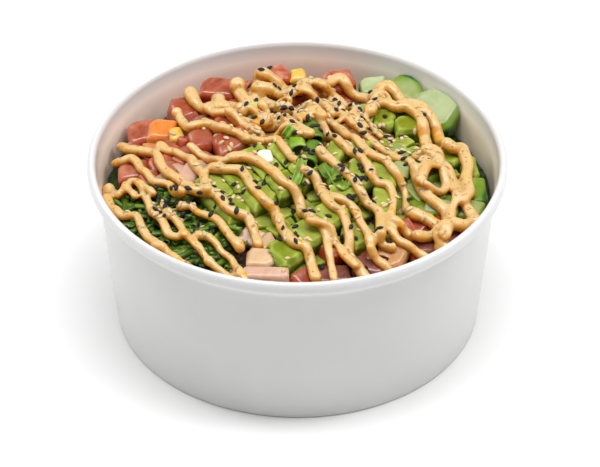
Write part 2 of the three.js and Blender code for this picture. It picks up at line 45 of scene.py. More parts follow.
# The camera: how far it stands from what it looks at, how high above the horizon, and its lens.
AIM = Vector((1.0, 0.0, 35.3))
CAMERA_DISTANCE = 1650.0
CAMERA_ELEVATION = math.radians(37.08)
LENS = 249.8
SENSOR = 36.0

# The bowl.
BOWL_HEIGHT = 73.0
RIM_RADIUS = 82.5
BEAD_WIDTH = 3.7
BEAD_HEIGHT = 5.8
WALL_TOP_RADIUS = 78.7
BASE_RADIUS = 72.0
WALL = 0.8
FOOT_WIDTH = 2.0
FOOT_HEIGHT = 6.0
FOOT_ROUND = 0.8
CORNER = 0.6
FOOT_FLAT = 0.7
FLOOR = FOOT_HEIGHT + WALL
FLOOR_BEND = 2.0
UNDER_BEAD = BOWL_HEIGHT - BEAD_HEIGHT
BEAD_ARC = (-125, 180)
BEAD_RINGS = 26
OUTER_RINGS = 18
OUTER_START = 3.0
INNER_RINGS = 16
INNER_END = 66.0
# How far down the inside its painted shade and painted bounced food colour reach full strength.
BOUNCE_SHADE_DEPTH = 14.0
BOWL_SIDES = 240

# The heap: a shallow dome of toppings over a lower bed. The bed has two mounds of greens, a raised
# middle and a hollow, each a plan place, a reach and a rise. SKY is a height above everything.
HEAP_TOP = 74.0
HEAP_DROP = 14.0
HEAP_RADIUS = 77.0
BED_RADIUS = 75.6
BED_DEPTH = 7.0
BED_BUMP = 0.7
BED_WAVES = (0.31, 0.27, 0.17)
BED_RINGS = 84
BED_SIDES = 220
BED_CLEARANCE = 0.35
BED_FOOT = 3.5
FOOD_REACH = BED_RADIUS - 5
SKY = 100.0
GREENS = [(-56.0, -26.0, 20.0, 4.5), (-38.0, -47.0, 17.0, 4.5)]
MIDDLE = (4.0, 28.0, 36.0, 4.5)
HOLLOW = (-6.0, -38.0, 16.0, -3.0)

# How each kind of topping is worn: smoothing rounds, the size and height of its ripples, and how far
# it swells.
TOPPING_VOXEL = 0.42
KEPT_SHARE = 0.4
WEAR = {
    "tuna": (11, 5.0, 0.45, 0.1),
    "salmon": (8, 5.0, 0.35, 0.1),
    "pale_fish": (6, 5.0, 0.3, 0.1),
    "avocado": (5, 5.0, 0.45, 0.15),
    "cucumber": (4, 8.0, 0.2, 0.1),
    "corn": (45, 4.0, 0.2, 0.3),
    "onion": (8, 3.0, 0.25, 0.1),
    "tofu": (8, 3.0, 0.2, 0.1),
}

# Smaller pieces in the gaps: how far apart they are tried, how far each try strays and how far out the
# last is, how deep a gap has to be, their sizes and headings, how deep they sink, and how uneven they are.
FILL_STEP = 6.5
FILL_STRAY = 1.5
FILL_REACH = 70.0
FILL_GAP = 4.5
FILL_SIZES = (6.5, 9.5)
FILL_HEIGHT = 8.0
FILL_HEADINGS = (0.2, 1.0)
FILL_JITTER = 0.5
FILL_LEAN = 0.16
GREENS_EDGE = 1.5
FILL_DEPTHS = {"avocado": (4.0, 7.0), "cucumber": (2.5, 5.0)}
USUAL_FILL_DEPTHS = (1.5, 3.5)
FILL_KINDS = ("tuna", "salmon", "pale_fish", "avocado", "cucumber")

# Sauce: the usual strand radius, and each strand's thickness as a share of it with the plan points
# that it runs through.
STRAND_RADIUS = 1.68
SAUCE_VOXEL = 0.5
SAUCE_KEPT_SHARE = 0.6
STRANDS = [
    (1.5, [(-43, 54), (-42, 49), (-40, 43), (-37, 39), (-33, 38)]),
    (1.4, [(-32, 46), (-31, 41), (-30, 37), (-27, 38), (-24, 36), (-22, 32)]),
    (1.2, [(-36, 38), (-32, 33), (-27, 32)]),
    (1.7, [(-24, 56), (-23, 50), (-21, 45), (-19, 41), (-17, 46), (-15, 48), (-13, 45), (-10, 40),
           (-5, 33)]),
    (1.1, [(-6, 33), (-1, 32), (4, 30), (8, 25), (10, 19), (13, 13), (16, 8), (20, 3), (24, -1), (27, -6),
           (29, -12)]),
    (1.6, [(-15, 65), (-16, 61), (-15, 57), (-17, 53), (-15, 49)]),
    (1.4, [(-14, 64), (-11, 61), (-8, 57), (-5, 53), (1, 48)]),
    (1.4, [(-16, 56), (-12, 54), (-8, 50), (-5, 46), (2, 49)]),
    (1.4, [(0, 47), (4, 53), (8, 54), (11, 50), (13, 45), (14, 39), (17, 35)]),
    (1.1, [(3, 50), (5, 46), (7, 41), (11, 32)]),
    (1.3, [(-48, 38), (-46, 31), (-44, 26), (-42, 23), (-38, 25), (-34, 24), (-31, 20), (-27, 17),
           (-23, 14), (-20, 10)]),
    (1.1, [(-20, 10), (-16, 9), (-11, 9), (-8, 8), (-6, 4), (-4, 0), (-2, -4), (2, -9)]),
    (1.2, [(-70, 21), (-67, 17), (-62, 14), (-58, 12), (-55, 7), (-54, 2), (-52, -3), (-49, -8),
           (-45, -13), (-41, -18)]),
    (1.3, [(-41, -18), (-37, -20), (-32, -22), (-29, -27), (-27, -31), (-23, -35), (-19, -37), (-17, -43),
           (-15, -50)]),
    (1.1, [(-72, 12), (-69, 9), (-66, 10), (-63, 6), (-61, 0), (-58, -5), (-55, -11), (-50, -13),
           (-48, -18), (-45, -23)]),
    (1.1, [(-45, -23), (-41, -27), (-39, -31), (-35, -34), (-31, -37), (-28, -42), (-25, -47),
           (-22, -52)]),
    (1.1, [(-54, 14), (-51, 10), (-48, 9), (-45, 5), (-42, 1), (-40, -4), (-37, -9), (-36, -14),
           (-35, -19)]),
    (0.9, [(-42, 10), (-39, 7), (-36, 3), (-33, -1), (-29, -4)]),
    (1.3, [(-26, -2), (-22, -2), (-17, -4), (-12, -9), (-9, -13), (-6, -18), (-2, -22), (1, -27),
           (2, -33), (5, -38)]),
    (1.1, [(5, -38), (9, -42), (11, -48), (12, -55), (13, -61), (14, -67)]),
    (1.3, [(-33, -7), (-28, -9), (-23, -10), (-20, -14), (-18, -20), (-15, -25), (-12, -30), (-9, -32),
           (-7, -37)]),
    (1.3, [(-7, -37), (-6, -42), (-4, -47), (-1, -51), (3, -53), (5, -58), (6, -63), (7, -67)]),
    (1.1, [(-76, 1), (-75, -9), (-73, -17), (-69, -24), (-65, -26), (-62, -28), (-60, -34), (-58, -39),
           (-54, -44)]),
    (1.1, [(-54, -44), (-50, -48), (-46, -53), (-41, -59), (-36, -63)]),
    (1.1, [(-74, -1), (-72, -7), (-70, -12), (-67, -8), (-65, -5), (-62, -8), (-60, -14), (-58, -21),
           (-56, -27)]),
    (1.0, [(-56, -27), (-53, -31), (-51, -36), (-49, -41), (-46, -43), (-43, -42), (-40, -46), (-37, -51),
           (-34, -56)]),
    (1.0, [(-34, -56), (-31, -60), (-27, -64), (-22, -66)]),
    (0.9, [(-62, -8), (-59, -12), (-56, -17)]),
    (0.9, [(-67, -8), (-65, -12), (-63, -16)]),
    (0.9, [(-52, -24), (-50, -30), (-46, -35), (-43, -42)]),
    (1.0, [(-38, -43), (-34, -45), (-31, -49), (-29, -53), (-25, -57), (-23, -61), (-20, -66)]),
    (1.3, [(8, 54), (12, 56), (15, 60), (17, 61), (19, 58), (21, 53), (24, 51), (28, 49), (31, 45)]),
    (1.2, [(10, 52), (13, 48), (16, 44), (20, 40), (23, 36), (24, 30), (25, 24)]),
    (1.0, [(13, 33), (16, 31), (19, 28), (22, 23), (25, 20), (28, 16), (31, 12), (35, 8), (39, 4),
           (43, 1), (46, -4)]),
    (1.3, [(46, -4), (47, -11), (49, -16), (52, -21), (55, -24), (58, -28), (57, -35)]),
    (1.1, [(12, 26), (16, 21), (20, 15), (23, 10), (26, 5), (29, 0), (34, -2), (37, -7), (40, -12),
           (42, -17), (42, -27)]),
    (1.1, [(29, -12), (31, -16), (35, -17), (37, -22), (37, -28), (36, -34), (36, -40), (38, -45),
           (42, -48), (49, -52)]),
    (1.2, [(9, 1), (12, -4), (15, -8), (19, -13), (22, -17), (24, -22), (27, -27), (30, -31), (32, -35),
           (32, -43)]),
    (1.2, [(32, -43), (32, -48), (36, -50)]),
    (1.2, [(3, -12), (7, -16), (9, -22), (12, -26), (16, -28), (20, -30), (23, -34), (24, -39), (27, -45),
           (28, -51)]),
    (1.0, [(28, -51), (31, -56), (35, -61)]),
    (1.2, [(9, -22), (11, -28), (14, -32), (17, -35), (19, -41), (20, -49), (20, -56), (23, -61),
           (26, -65)]),
    (1.0, [(5, -39), (12, -42), (14, -47), (16, -52), (18, -56), (22, -60)]),
    (1.0, [(37, -35), (41, -40), (44, -43)]),
    (1.3, [(47, 8), (51, 10), (51, 4), (50, -3), (48, -11)]),
    (1.5, [(51, 10), (55, 9), (57, 3), (60, -4), (62, -11), (64, -17), (66, -22), (68, -27)]),
    (1.1, [(56, 6), (57, -3), (58, -9), (55, -15), (49, -15)]),
    (1.4, [(31, 46), (33, 56), (36, 59), (39, 55), (41, 51), (45, 46), (49, 43), (53, 37), (55, 31),
           (57, 24), (59, 17)]),
    (1.5, [(59, 17), (62, 15), (65, 17), (66, 11), (67, 4), (66, -4), (67, -12), (64, -18)]),
    (1.2, [(31, 44), (34, 50), (38, 45), (43, 43)]),
    (1.6, [(29, 34), (31, 40), (35, 42), (39, 40), (43, 41), (47, 38), (49, 33), (50, 26), (51, 19)]),
    (1.6, [(44, -30), (50, -33), (55, -35), (60, -33), (65, -31), (69, -28)]),
    (1.4, [(46, -42), (51, -41), (55, -36)]),
    (1.6, [(55, -46), (56, -40), (57, -34)]),
    (1.0, [(62, -14), (61, -20), (59, -28)]),
    (1.0, [(-13, 20), (-8, 20), (-3, 18), (0, 13)]),
    (1.0, [(-27, 30), (-24, 25), (-20, 22), (-18, 16)]),
]

# Thin threads in the middle, and pools as a plan place and a reach. Each pool is a strand wound at a
# pitch.
THREADS = [
    (0.8, [(-22, 26), (-18, 26), (-16, 24), (-13, 20), (-11, 22), (-8, 25)]),
    (0.8, [(-9, 12), (-6, 16), (-3, 18), (0, 15), (3, 11)]),
    (0.9, [(-19, 34), (-16, 29), (-13, 25), (-10, 22), (-6, 22), (-3, 24), (1, 23)]),
    (1.0, [(-2, 44), (1, 46), (5, 44), (8, 40), (11, 36), (13, 31)]),
    (0.9, [(14, 29), (17, 30), (20, 27), (22, 22)]),
    (0.7, [(14, 22), (18, 26), (23, 26), (27, 22)]),
    (0.7, [(20, 32), (24, 30), (29, 27), (33, 21)]),
    (1.1, [(-14, 36), (-11, 30), (-6, 24), (1, 18), (5, 14)]),
    (1.0, [(-27, 32), (-23, 25), (-19, 18), (-14, 14)]),
    (1.1, [(1, 42), (4, 37), (7, 31), (10, 26)]),
    (0.9, [(-23, 36), (-19, 34), (-15, 30), (-11, 25)]),
]
POOLS = [(-5, 38, 4), (-13, 24, 4), (3, 27, 4), (52, 3, 5), (56, -37, 4)]
POOL_PITCH = 2.2
POOL_START = 0.3
POOL_MARKS = 9
POOL_SHARE = 0.7

# Where seeds and crumbs lie: plan place, spread and count.
BLACK_SEEDS = [
    (-2, 38, 15, 18), (22, 36, 15, 22), (-12, 16, 15, 16), (14, 8, 16, 18), (-12, -14, 15, 14),
    (12, -24, 16, 18), (30, -14, 14, 16), (-50, -26, 9, 26), (-28, -34, 12, 18), (26, -40, 12, 10),
    (36, 24, 12, 10), (46, 2, 12, 8), (0, -44, 14, 12),
]
TAN_SEEDS = [
    (-4, 34, 13, 22), (14, 34, 15, 18), (-14, 20, 12, 24), (34, 20, 12, 34), (44, 8, 10, 18),
    (-22, 6, 16, 14), (4, -4, 18, 22), (-30, -22, 16, 16), (20, -36, 18, 18), (-50, -28, 9, 30),
    (40, -30, 16, 14), (-8, -48, 16, 12), (-40, 26, 12, 8),
]
CRUMBS = [
    (-4, 32, 14, 24), (16, 34, 14, 16), (-14, 18, 12, 18), (34, 20, 12, 22), (-50, -27, 9, 14),
    (5, -15, 30, 30),
]


# ---- Meshes as arrays of points and triangles ----


# How many rounds of smoothing an edge is measured against, and how far it then stands out.
EDGE_ROUNDS = 5
EDGE_STAND = 0.22
TINY = 1e-9
NEARLY_ALONG = 1e-3
CAP_TURNS = (8, 35, 62)


def mesh_from(name, points, triangles):
    mesh = bpy.data.meshes.new(name)
    mesh.from_pydata((np.asarray(points) * MM).tolist(), [], np.asarray(triangles).tolist())
    mesh.shade_smooth()
    return mesh


def linked(name, data):
    """A new object in the scene."""
    made = bpy.data.objects.new(name, data)
    bpy.context.scene.collection.objects.link(made)
    return made


def arrays_of(mesh):
    points = np.empty(len(mesh.vertices) * 3)
    mesh.vertices.foreach_get("co", points)
    mesh.calc_loop_triangles()
    triangles = np.empty(len(mesh.loop_triangles) * 3, int)
    mesh.loop_triangles.foreach_get("vertices", triangles)
    return points.reshape(-1, 3) / MM, triangles.reshape(-1, 3)


def joined(parts):
    """One pair of arrays from several."""
    points, triangles, first = [], [], 0
    for part_points, part_triangles in parts:
        points.append(part_points)
        triangles.append(np.asarray(part_triangles) + first)
        first += len(part_points)
    return np.vstack(points), np.vstack(triangles)


def modified(points, triangles, kind, **settings):
    """What one of Blender's modifiers makes of a mesh."""
    carrier = linked("carrier", mesh_from("carrier", points, triangles))
    modifier = carrier.modifiers.new("change", kind)
    for name, value in settings.items():
        setattr(modifier, name, value)
    evaluated = carrier.evaluated_get(bpy.context.evaluated_depsgraph_get())
    made = arrays_of(evaluated.to_mesh())
    evaluated.to_mesh_clear()
    bpy.data.objects.remove(carrier)
    return made


def remeshed(points, triangles, voxel):
    """The outer skin of closed meshes that may overlap, in squares of one size."""
    return modified(points, triangles, "REMESH", mode="VOXEL", voxel_size=voxel * MM)


def thinned(points, triangles, share):
    """The same shape with fewer triangles where it is flat."""
    return modified(points, triangles, "DECIMATE", ratio=share)


def smoothed(points, triangles, rounds):
    """Each point moves half way to the middle of its neighbours in each round."""
    start, end = np.vstack([triangles[:, [0, 1]], triangles[:, [1, 2]], triangles[:, [2, 0]]]).T
    count = np.maximum(np.bincount(start, minlength=len(points)), 1)
    for _ in range(rounds):
        mean = [np.bincount(start, points[end, axis], len(points)) / count for axis in range(3)]
        points = points + 0.5 * (np.array(mean).T - points)
    return points


def normals_of(points, triangles):
    a, b, c = (points[triangles[:, k]] for k in range(3))
    face = np.cross(b - a, c - a)
    total = np.zeros_like(points)
    for corner in range(3):
        for axis in range(3):
            total[:, axis] += np.bincount(triangles[:, corner], face[:, axis], len(points))
    return total / np.maximum(np.linalg.norm(total, axis=1, keepdims=True), TINY)


def ripple(points, size, seed):
    """Smooth noise from about -1 to 1 at each point, with bumps of a given size."""
    shift = Vector((seed * 17.3, seed * 5.1, seed * 11.7))
    return np.array([noise.noise(Vector(point) / size + shift) for point in points])


def edge_of(points, triangles):
    """How far each point stands out of its surroundings, from 0 on a flat to 1 on an edge."""
    stand = points - smoothed(points, triangles, EDGE_ROUNDS)
    return np.clip((stand * normals_of(points, triangles)).sum(1) / EDGE_STAND, 0, 1)


def rounded(points, triangles, seed, rounds, size, height, swell):
    """A worn skin: smoothed edges and shallow ripples."""
    points = smoothed(points, triangles, rounds)
    rise = swell + height * ripple(points, size, seed)
    return points + normals_of(points, triangles) * rise[:, None]


def band(first, second, sides):
    """Two triangles for each side between two rings, given where each ring's points start."""
    triangles = []
    for i in range(sides):
        j = (i + 1) % sides
        triangles += [(first + i, first + j, second + j), (first + i, second + j, second + i)]
    return triangles


def capped(rings, sides):
    """The triangles of a first point, some rings of points and a last point."""
    triangles = []
    for k in range(rings - 1):
        triangles += band(1 + k * sides, 1 + (k + 1) * sides, sides)
    last = 1 + rings * sides
    top = last - sides
    for i in range(sides):
        j = (i + 1) % sides
        triangles += [(0, 1 + j, 1 + i), (top + i, top + j, last)]
    return np.array(triangles)


def lathe(profile, sides):
    """A solid of revolution: the profile runs from the axis to the axis."""
    turn = np.arange(sides) * 2 * math.pi / sides
    points = [(0, 0, profile[0][1])]
    for r, z in profile[1:-1]:
        points += [(r * math.cos(a), r * math.sin(a), z) for a in turn]
    points.append((0, 0, profile[-1][1]))
    return np.array(points), capped(len(profile) - 2, sides)[:, ::-1]


def frames_along(path):
    """The direction at each point of a path, and two directions across it that hardly turn."""
    along = np.gradient(path, axis=0)
    along /= np.maximum(np.linalg.norm(along, axis=1, keepdims=True), TINY)
    across = np.cross(along[0], (0.0, 0.0, 1.0))
    if np.linalg.norm(across) < NEARLY_ALONG:
        across = np.array((1.0, 0.0, 0.0))
    sides = []
    for direction in along:
        across = across - direction * across.dot(direction)
        across /= np.linalg.norm(across)
        sides.append(across)
    sides = np.array(sides)
    return along, sides, np.cross(along, sides)


def ring(centre, first, second, radius, sides, oval):
    """Points round a centre in the plane of two directions, pressed along the second."""
    angles = np.arange(sides) * 2 * math.pi / sides
    return centre + radius * (np.outer(np.cos(angles), first) + oval * np.outer(np.sin(angles), second))


def tube(path, radii, sides=10, oval=0.86):
    """A closed tube with round ends, pressed a little flat."""
    along, first, second = frames_along(path)
    rings = []
    for turn in np.radians(CAP_TURNS):
        r = radii[0] * math.sin(turn)
        rings.append((path[0] - along[0] * radii[0] * math.cos(turn), r, 0))
    rings += [(path[i], radii[i], i) for i in range(len(path))]
    for turn in np.radians(CAP_TURNS[::-1]):
        r = radii[-1] * math.sin(turn)
        rings.append((path[-1] + along[-1] * radii[-1] * math.cos(turn), r, len(path) - 1))
    points = [ring(centre, first[i], second[i], radius, sides, oval) for centre, radius, i in rings]
    points = np.vstack(points + [rings[0][0], rings[-1][0]])
    triangles = []
    for k in range(len(rings) - 1):
        triangles += band(k * sides, (k + 1) * sides, sides)
    first_cap, last_cap = len(points) - 2, len(points) - 1
    top = (len(rings) - 1) * sides
    for i in range(sides):
        j = (i + 1) % sides
        triangles += [(first_cap, j, i), (last_cap, top + i, top + j)]
    return points, np.array(triangles)


def hollow_stalk(path, radius, wall, sides=14, oval=1.0):
    """A stalk with a hole along it and open ends."""
    _, first, second = frames_along(path)
    rings = [(i, radius) for i in range(len(path))]
    rings += [(i, radius - wall) for i in reversed(range(len(path)))]
    points = [ring(path[i], first[i], second[i], r, sides, oval) for i, r in rings]
    triangles = []
    for k in range(len(rings)):
        triangles += band(k * sides, (k + 1) % len(rings) * sides, sides)
    return np.vstack(points), np.array(triangles)


def leaf(path, radius, wall, spread, sides=8):
    """A strip of leaf that curls round its length by a spread of angles."""
    _, first, second = frames_along(path)
    out = np.linspace(-spread / 2, spread / 2, sides)
    angles = np.concatenate([out, out[::-1]])[:, None]
    reach = np.repeat([radius, radius - wall], sides)[:, None]
    rings = zip(path, first, second)
    points = [p + reach * (np.cos(angles) * v + np.sin(angles) * u) for p, u, v in rings]
    triangles = []
    count = 2 * sides
    for i in range(len(path) - 1):
        triangles += band(i * count, (i + 1) * count, count)
    end = (len(path) - 1) * count
    for a in range(sides - 1):
        b, c, d = a + 1, count - 2 - a, count - 1 - a
        triangles += [(a, c, b), (a, d, c), (end + a, end + b, end + c), (end + a, end + c, end + d)]
    return np.vstack(points), np.array(triangles)


def placed(points, place, turn):
    """Points turned by a matrix and set at a place."""
    return points @ np.array(turn).T + np.array(place)


def turned(up, spin):
    """A turn that lays Z along a surface's normal and X along the surface, spun round the normal."""
    up = Vector(up).normalized()
    side = up.cross(Vector((1, 0, 0)))
    side = side.normalized() if side.length > NEARLY_ALONG else up.orthogonal().normalized()
    base = Matrix((side.cross(up), side, up)).transposed()
    return base @ Matrix.Rotation(spin, 3, "Z")


# ---- Materials ----


# The shader's own scatter colours and coat roughness, and how many bands a wave texture draws in a unit.
PLAIN_SCATTER = (1.0, 0.2, 0.1)
PLAIN_COAT = 0.03
NO_SCATTER = (0.0, 50, PLAIN_SCATTER)
NO_COAT = (0.0, PLAIN_COAT)
BANDS_IN_UNIT = 0.31


class Look:
    """A Principled material and short ways to build its nodes. Sizes are in millimetres.

    Scatter is a weight, a depth and how far each colour goes. A coat is a weight and a roughness.
    """

    def __init__(self, name, roughness, specular=0.5, scatter=NO_SCATTER, coat=NO_COAT):
        self.material = bpy.data.materials.new(name)
        self.material.use_nodes = True
        self.tree = self.material.node_tree
        self.shader = self.tree.nodes["Principled BSDF"]
        self.place = self.node("ShaderNodeTexCoord").outputs["Object"]
        settings = {"Roughness": roughness, "Specular IOR Level": specular}
        settings["Subsurface Weight"], depth, settings["Subsurface Radius"] = scatter
        settings["Subsurface Scale"] = depth * MM
        settings["Coat Weight"], settings["Coat Roughness"] = coat
        for socket, value in settings.items():
            self.shader.inputs[socket].default_value = value

    def node(self, kind, **settings):
        made = self.tree.nodes.new(kind)
        for name, value in settings.items():
            setattr(made, name, value)
        return made

    def join(self, source, target):
        self.tree.links.new(source, target)

    def attribute(self, name):
        return self.node("ShaderNodeAttribute", attribute_name=name).outputs["Fac"]

    def noise(self, size, detail=3, distortion=0.0):
        made = self.node("ShaderNodeTexNoise")
        made.inputs["Scale"].default_value = 1 / (size * MM)
        made.inputs["Detail"].default_value = detail
        made.inputs["Distortion"].default_value = distortion
        self.join(self.place, made.inputs["Vector"])
        return made.outputs["Fac"]

    def bands(self, size, distortion, turn):
        mapping = self.node("ShaderNodeMapping")
        mapping.inputs["Rotation"].default_value = turn
        self.join(self.place, mapping.inputs["Vector"])
        made = self.node("ShaderNodeTexWave", wave_profile="SIN")
        made.inputs["Scale"].default_value = BANDS_IN_UNIT / (size * MM)
        made.inputs["Distortion"].default_value = distortion
        made.inputs["Detail"].default_value = 2.0
        made.inputs["Detail Scale"].default_value = 0.6
        self.join(mapping.outputs["Vector"], made.inputs["Vector"])
        return made.outputs["Fac"]

    def ramp(self, source, *stops):
        made = self.node("ShaderNodeValToRGB")
        elements = made.color_ramp.elements
        for element, (position, colour) in zip(elements, stops):
            element.position = position
            element.color = (*colour, 1.0) if isinstance(colour, tuple) else (colour,) * 3 + (1.0,)
        self.join(source, made.inputs["Fac"])
        return made.outputs["Color"]

    def blotches(self, size, low, high, distortion=0.0, stops=(0.3, 0.7), detail=3):
        """Soft patches that go from one colour or value to another."""
        return self.ramp(self.noise(size, detail, distortion), (stops[0], low), (stops[1], high))

    def graded(self, name, start, end, low=0.0, high=1.0):
        """A colour or value that follows one of the mesh's attributes."""
        return self.ramp(self.attribute(name), (start, low), (end, high))

    def mix(self, factor, first, second):
        made = self.node("ShaderNodeMix", data_type="RGBA")
        for value, socket in ((factor, 0), (first, 6), (second, 7)):
            if isinstance(value, tuple):
                made.inputs[socket].default_value = (*value, 1.0)
            else:
                self.join(value, made.inputs[socket])
        return made.outputs[2]

    def finished(self, colour, *bumps):
        """The material, once its colour and its layers of bumps are joined."""
        self.join(colour, self.shader.inputs["Base Color"])
        for settings in bumps:
            self.bump(*settings)
        return self.material

    def bump(self, size, height, strength=0.6, detail=3):
        """Adds a layer of low bumps to those before it."""
        made = self.node("ShaderNodeBump")
        made.inputs["Strength"].default_value = strength
        made.inputs["Distance"].default_value = height * MM
        self.join(self.noise(size, detail), made.inputs["Height"])
        previous = self.shader.inputs["Normal"].links
        if previous:
            self.join(previous[0].from_socket, made.inputs["Normal"])
        self.join(made.outputs["Normal"], self.shader.inputs["Normal"])


def paper_look():
    look = Look("coated_paper", 0.32, coat=(0.25, 0.15))
    # One paper in three tones: the outer wall darker as painted shade, the bead lighter and the inside
    # lightest as painted light.
    outer = look.blotches(26, (0.615, 0.615, 0.60), (0.64, 0.64, 0.63), detail=4)
    shaded_outside = look.mix(look.attribute("bead"), outer, (0.70, 0.70, 0.70))
    # Lower down inside, the paper turns darker and warmer towards the food: painted shade with painted
    # bounced colour from the food.
    bounce_shaded_inside = look.mix(look.attribute("low"), (0.97, 0.95, 0.91), (0.97, 0.84, 0.70))
    colour = look.mix(look.attribute("inner"), shaded_outside, bounce_shaded_inside)
    return look.finished(colour, (1.3, 0.02, 0.5, 4), (14, 0.12, 0.4, 2))


def tuna_look():
    look = Look("tuna", 0.25, 0.4, (0.6, 4, (1.0, 0.3, 0.15)), (0.5, 0.1))
    mauve = look.blotches(5, (0.12, 0.030, 0.020), (0.26, 0.085, 0.065))
    dark = look.blotches(9, (0.26, 0.032, 0.007), (0.42, 0.09, 0.028), 0.6)
    light = look.blotches(5, (0.36, 0.06, 0.015), (0.60, 0.25, 0.15), stops=(0.38, 0.64))
    red = look.mix(look.graded("tint", 0.3, 1.0), dark, light)
    # Faces that stand sideways turn a saturated red that darkens lower down each piece: painted shade with
    # a painted glow.
    deep = look.graded("depth", 0.1, 0.8, (0.50, 0.075, 0.010), (0.26, 0.014, 0.001))
    side_shade_and_glow = look.mix(look.graded("side", 0.15, 0.7, 0.0, 0.9), red, deep)
    flesh = look.mix(look.graded("tint", 0.1, 0.3), mauve, side_shade_and_glow)
    sinew = look.ramp(look.bands(4.6, 5.0, (0.5, 0.3, 0.9)), (0.82, 0.0), (1.0, 0.08))
    veined = look.mix(sinew, flesh, (0.70, 0.34, 0.24))
    # Edges that stand out turn pale pink: a painted highlight.
    colour = look.mix(look.graded("edge", 0.1, 1.0, 0.0, 0.35), veined, (0.66, 0.30, 0.20))
    return look.finished(colour, (1.6, 0.12))


def salmon_look():
    look = Look("salmon", 0.3, 0.4, (0.5, 4, (1.0, 0.4, 0.15)), (0.3, 0.12))
    orange = look.blotches(8, (0.60, 0.15, 0.010), (0.72, 0.24, 0.035), 0.4)
    peach = look.blotches(6, (0.45, 0.21, 0.075), (0.54, 0.30, 0.13), 0.4)
    base = look.mix(look.attribute("tint"), orange, peach)
    fat = look.ramp(look.bands(3.4, 6.0, (0.9, 0.2, 0.4)), (0.75, 0.0), (0.95, 0.09))
    striped = look.mix(fat, base, (0.76, 0.46, 0.28))
    # Edges that stand out turn a light orange: a painted highlight.
    colour = look.mix(look.graded("edge", 0.1, 1.0, 0.0, 0.5), striped, (0.76, 0.42, 0.20))
    return look.finished(colour, (1.8, 0.1))


def pale_fish_look():
    look = Look("pale_fish", 0.35, 0.5, (0.4, 3, (1.0, 0.5, 0.35)), (0.25, 0.2))
    pink = look.blotches(7, (0.54, 0.30, 0.22), (0.64, 0.42, 0.32), 0.5)
    cream = look.blotches(7, (0.58, 0.35, 0.17), (0.68, 0.48, 0.28), 0.5)
    base = look.mix(look.attribute("tint"), pink, cream)
    fibre = look.ramp(look.bands(2.4, 6.0, (0.2, 0.9, 0.5)), (0.7, 0.0), (0.95, 0.2))
    return look.finished(look.mix(fibre, base, (0.64, 0.47, 0.36)), (1.2, 0.1))


def avocado_look():
    look = Look("avocado", 0.42, 0.08, (0.25, 2, (0.7, 1.0, 0.2)), (0.03, 0.25))
    green = look.blotches(8, (0.12, 0.17, 0.003), (0.20, 0.25, 0.011), 0.3)
    ripe = look.blotches(6, (0.24, 0.29, 0.02), (0.42, 0.44, 0.11), 0.3, (0.3, 0.75))
    olive = look.blotches(7, (0.14, 0.17, 0.004), (0.23, 0.25, 0.015), 0.3)
    fresh = look.mix(look.graded("tint", 0.3, 1.0, 0.1, 0.9), green, ripe)
    top = look.mix(look.graded("tint", 0.1, 0.3), olive, fresh)
    # Faces that stand sideways take dark greens that darken further down each piece: painted shade.
    upper_side_shade = look.blotches(7, (0.085, 0.135, 0.001), (0.14, 0.20, 0.004), 0.3)
    lower_side_shade = look.blotches(5, (0.035, 0.055, 0.001), (0.075, 0.10, 0.002), 0.3)
    side = look.mix(look.graded("depth", 0.05, 0.8), upper_side_shade, lower_side_shade)
    top_and_shaded_sides = look.mix(look.graded("side", 0.15, 0.5), top, side)
    # Edges that stand out turn a light yellow-green: a painted highlight.
    colour = look.mix(look.graded("edge", 0.05, 0.55, 0.0, 0.8), top_and_shaded_sides, (0.42, 0.50, 0.09))
    return look.finished(colour, (2.2, 0.12))


def cucumber_look():
    look = Look("cucumber", 0.3, 0.35, (0.3, 3, (0.7, 1.0, 0.4)), (0.25, 0.15))
    grey = look.blotches(7, (0.31, 0.38, 0.18), (0.44, 0.50, 0.27), 0.5)
    green = look.blotches(6, (0.16, 0.23, 0.008), (0.27, 0.33, 0.028), 0.5)
    pale = look.mix(look.attribute("tint"), grey, green)
    # Faces that stand sideways take greens that darken lower down each piece: painted shade.
    shaded = look.graded("depth", 0.1, 0.85, (0.24, 0.36, 0.03), (0.045, 0.10, 0.003))
    flesh = look.mix(look.graded("side", 0.25, 0.5), pale, shaded)
    rind = look.mix(look.graded("skin", 0.3, 0.75), flesh, (0.14, 0.25, 0.01))
    skin = look.blotches(3, (0.008, 0.045, 0.002), (0.03, 0.12, 0.005), 0.8, (0.35, 0.65))
    return look.finished(look.mix(look.graded("skin", 0.74, 0.84), rind, skin), (1.7, 0.08, 0.5))


def plain_food_look(name, low, high, size, roughness):
    look = Look(name, roughness, 0.5, (0.3, 2, (1.0, 0.8, 0.5)), (0.25, 0.2))
    return look.finished(look.blotches(size, low, high, 0.4), (size / 4, 0.1))


def scallion_look():
    look = Look("scallion", 0.35, 0.3, (0.2, 1.5, (0.5, 1.0, 0.2)), (0.2, 0.15))
    dark = look.blotches(5, (0.010, 0.032, 0.001), (0.055, 0.13, 0.004), detail=2)
    light = look.blotches(4, (0.15, 0.32, 0.010), (0.36, 0.50, 0.06), detail=2)
    return look.finished(look.mix(look.attribute("tint"), dark, light), (1.4, 0.06, 0.5, 2))


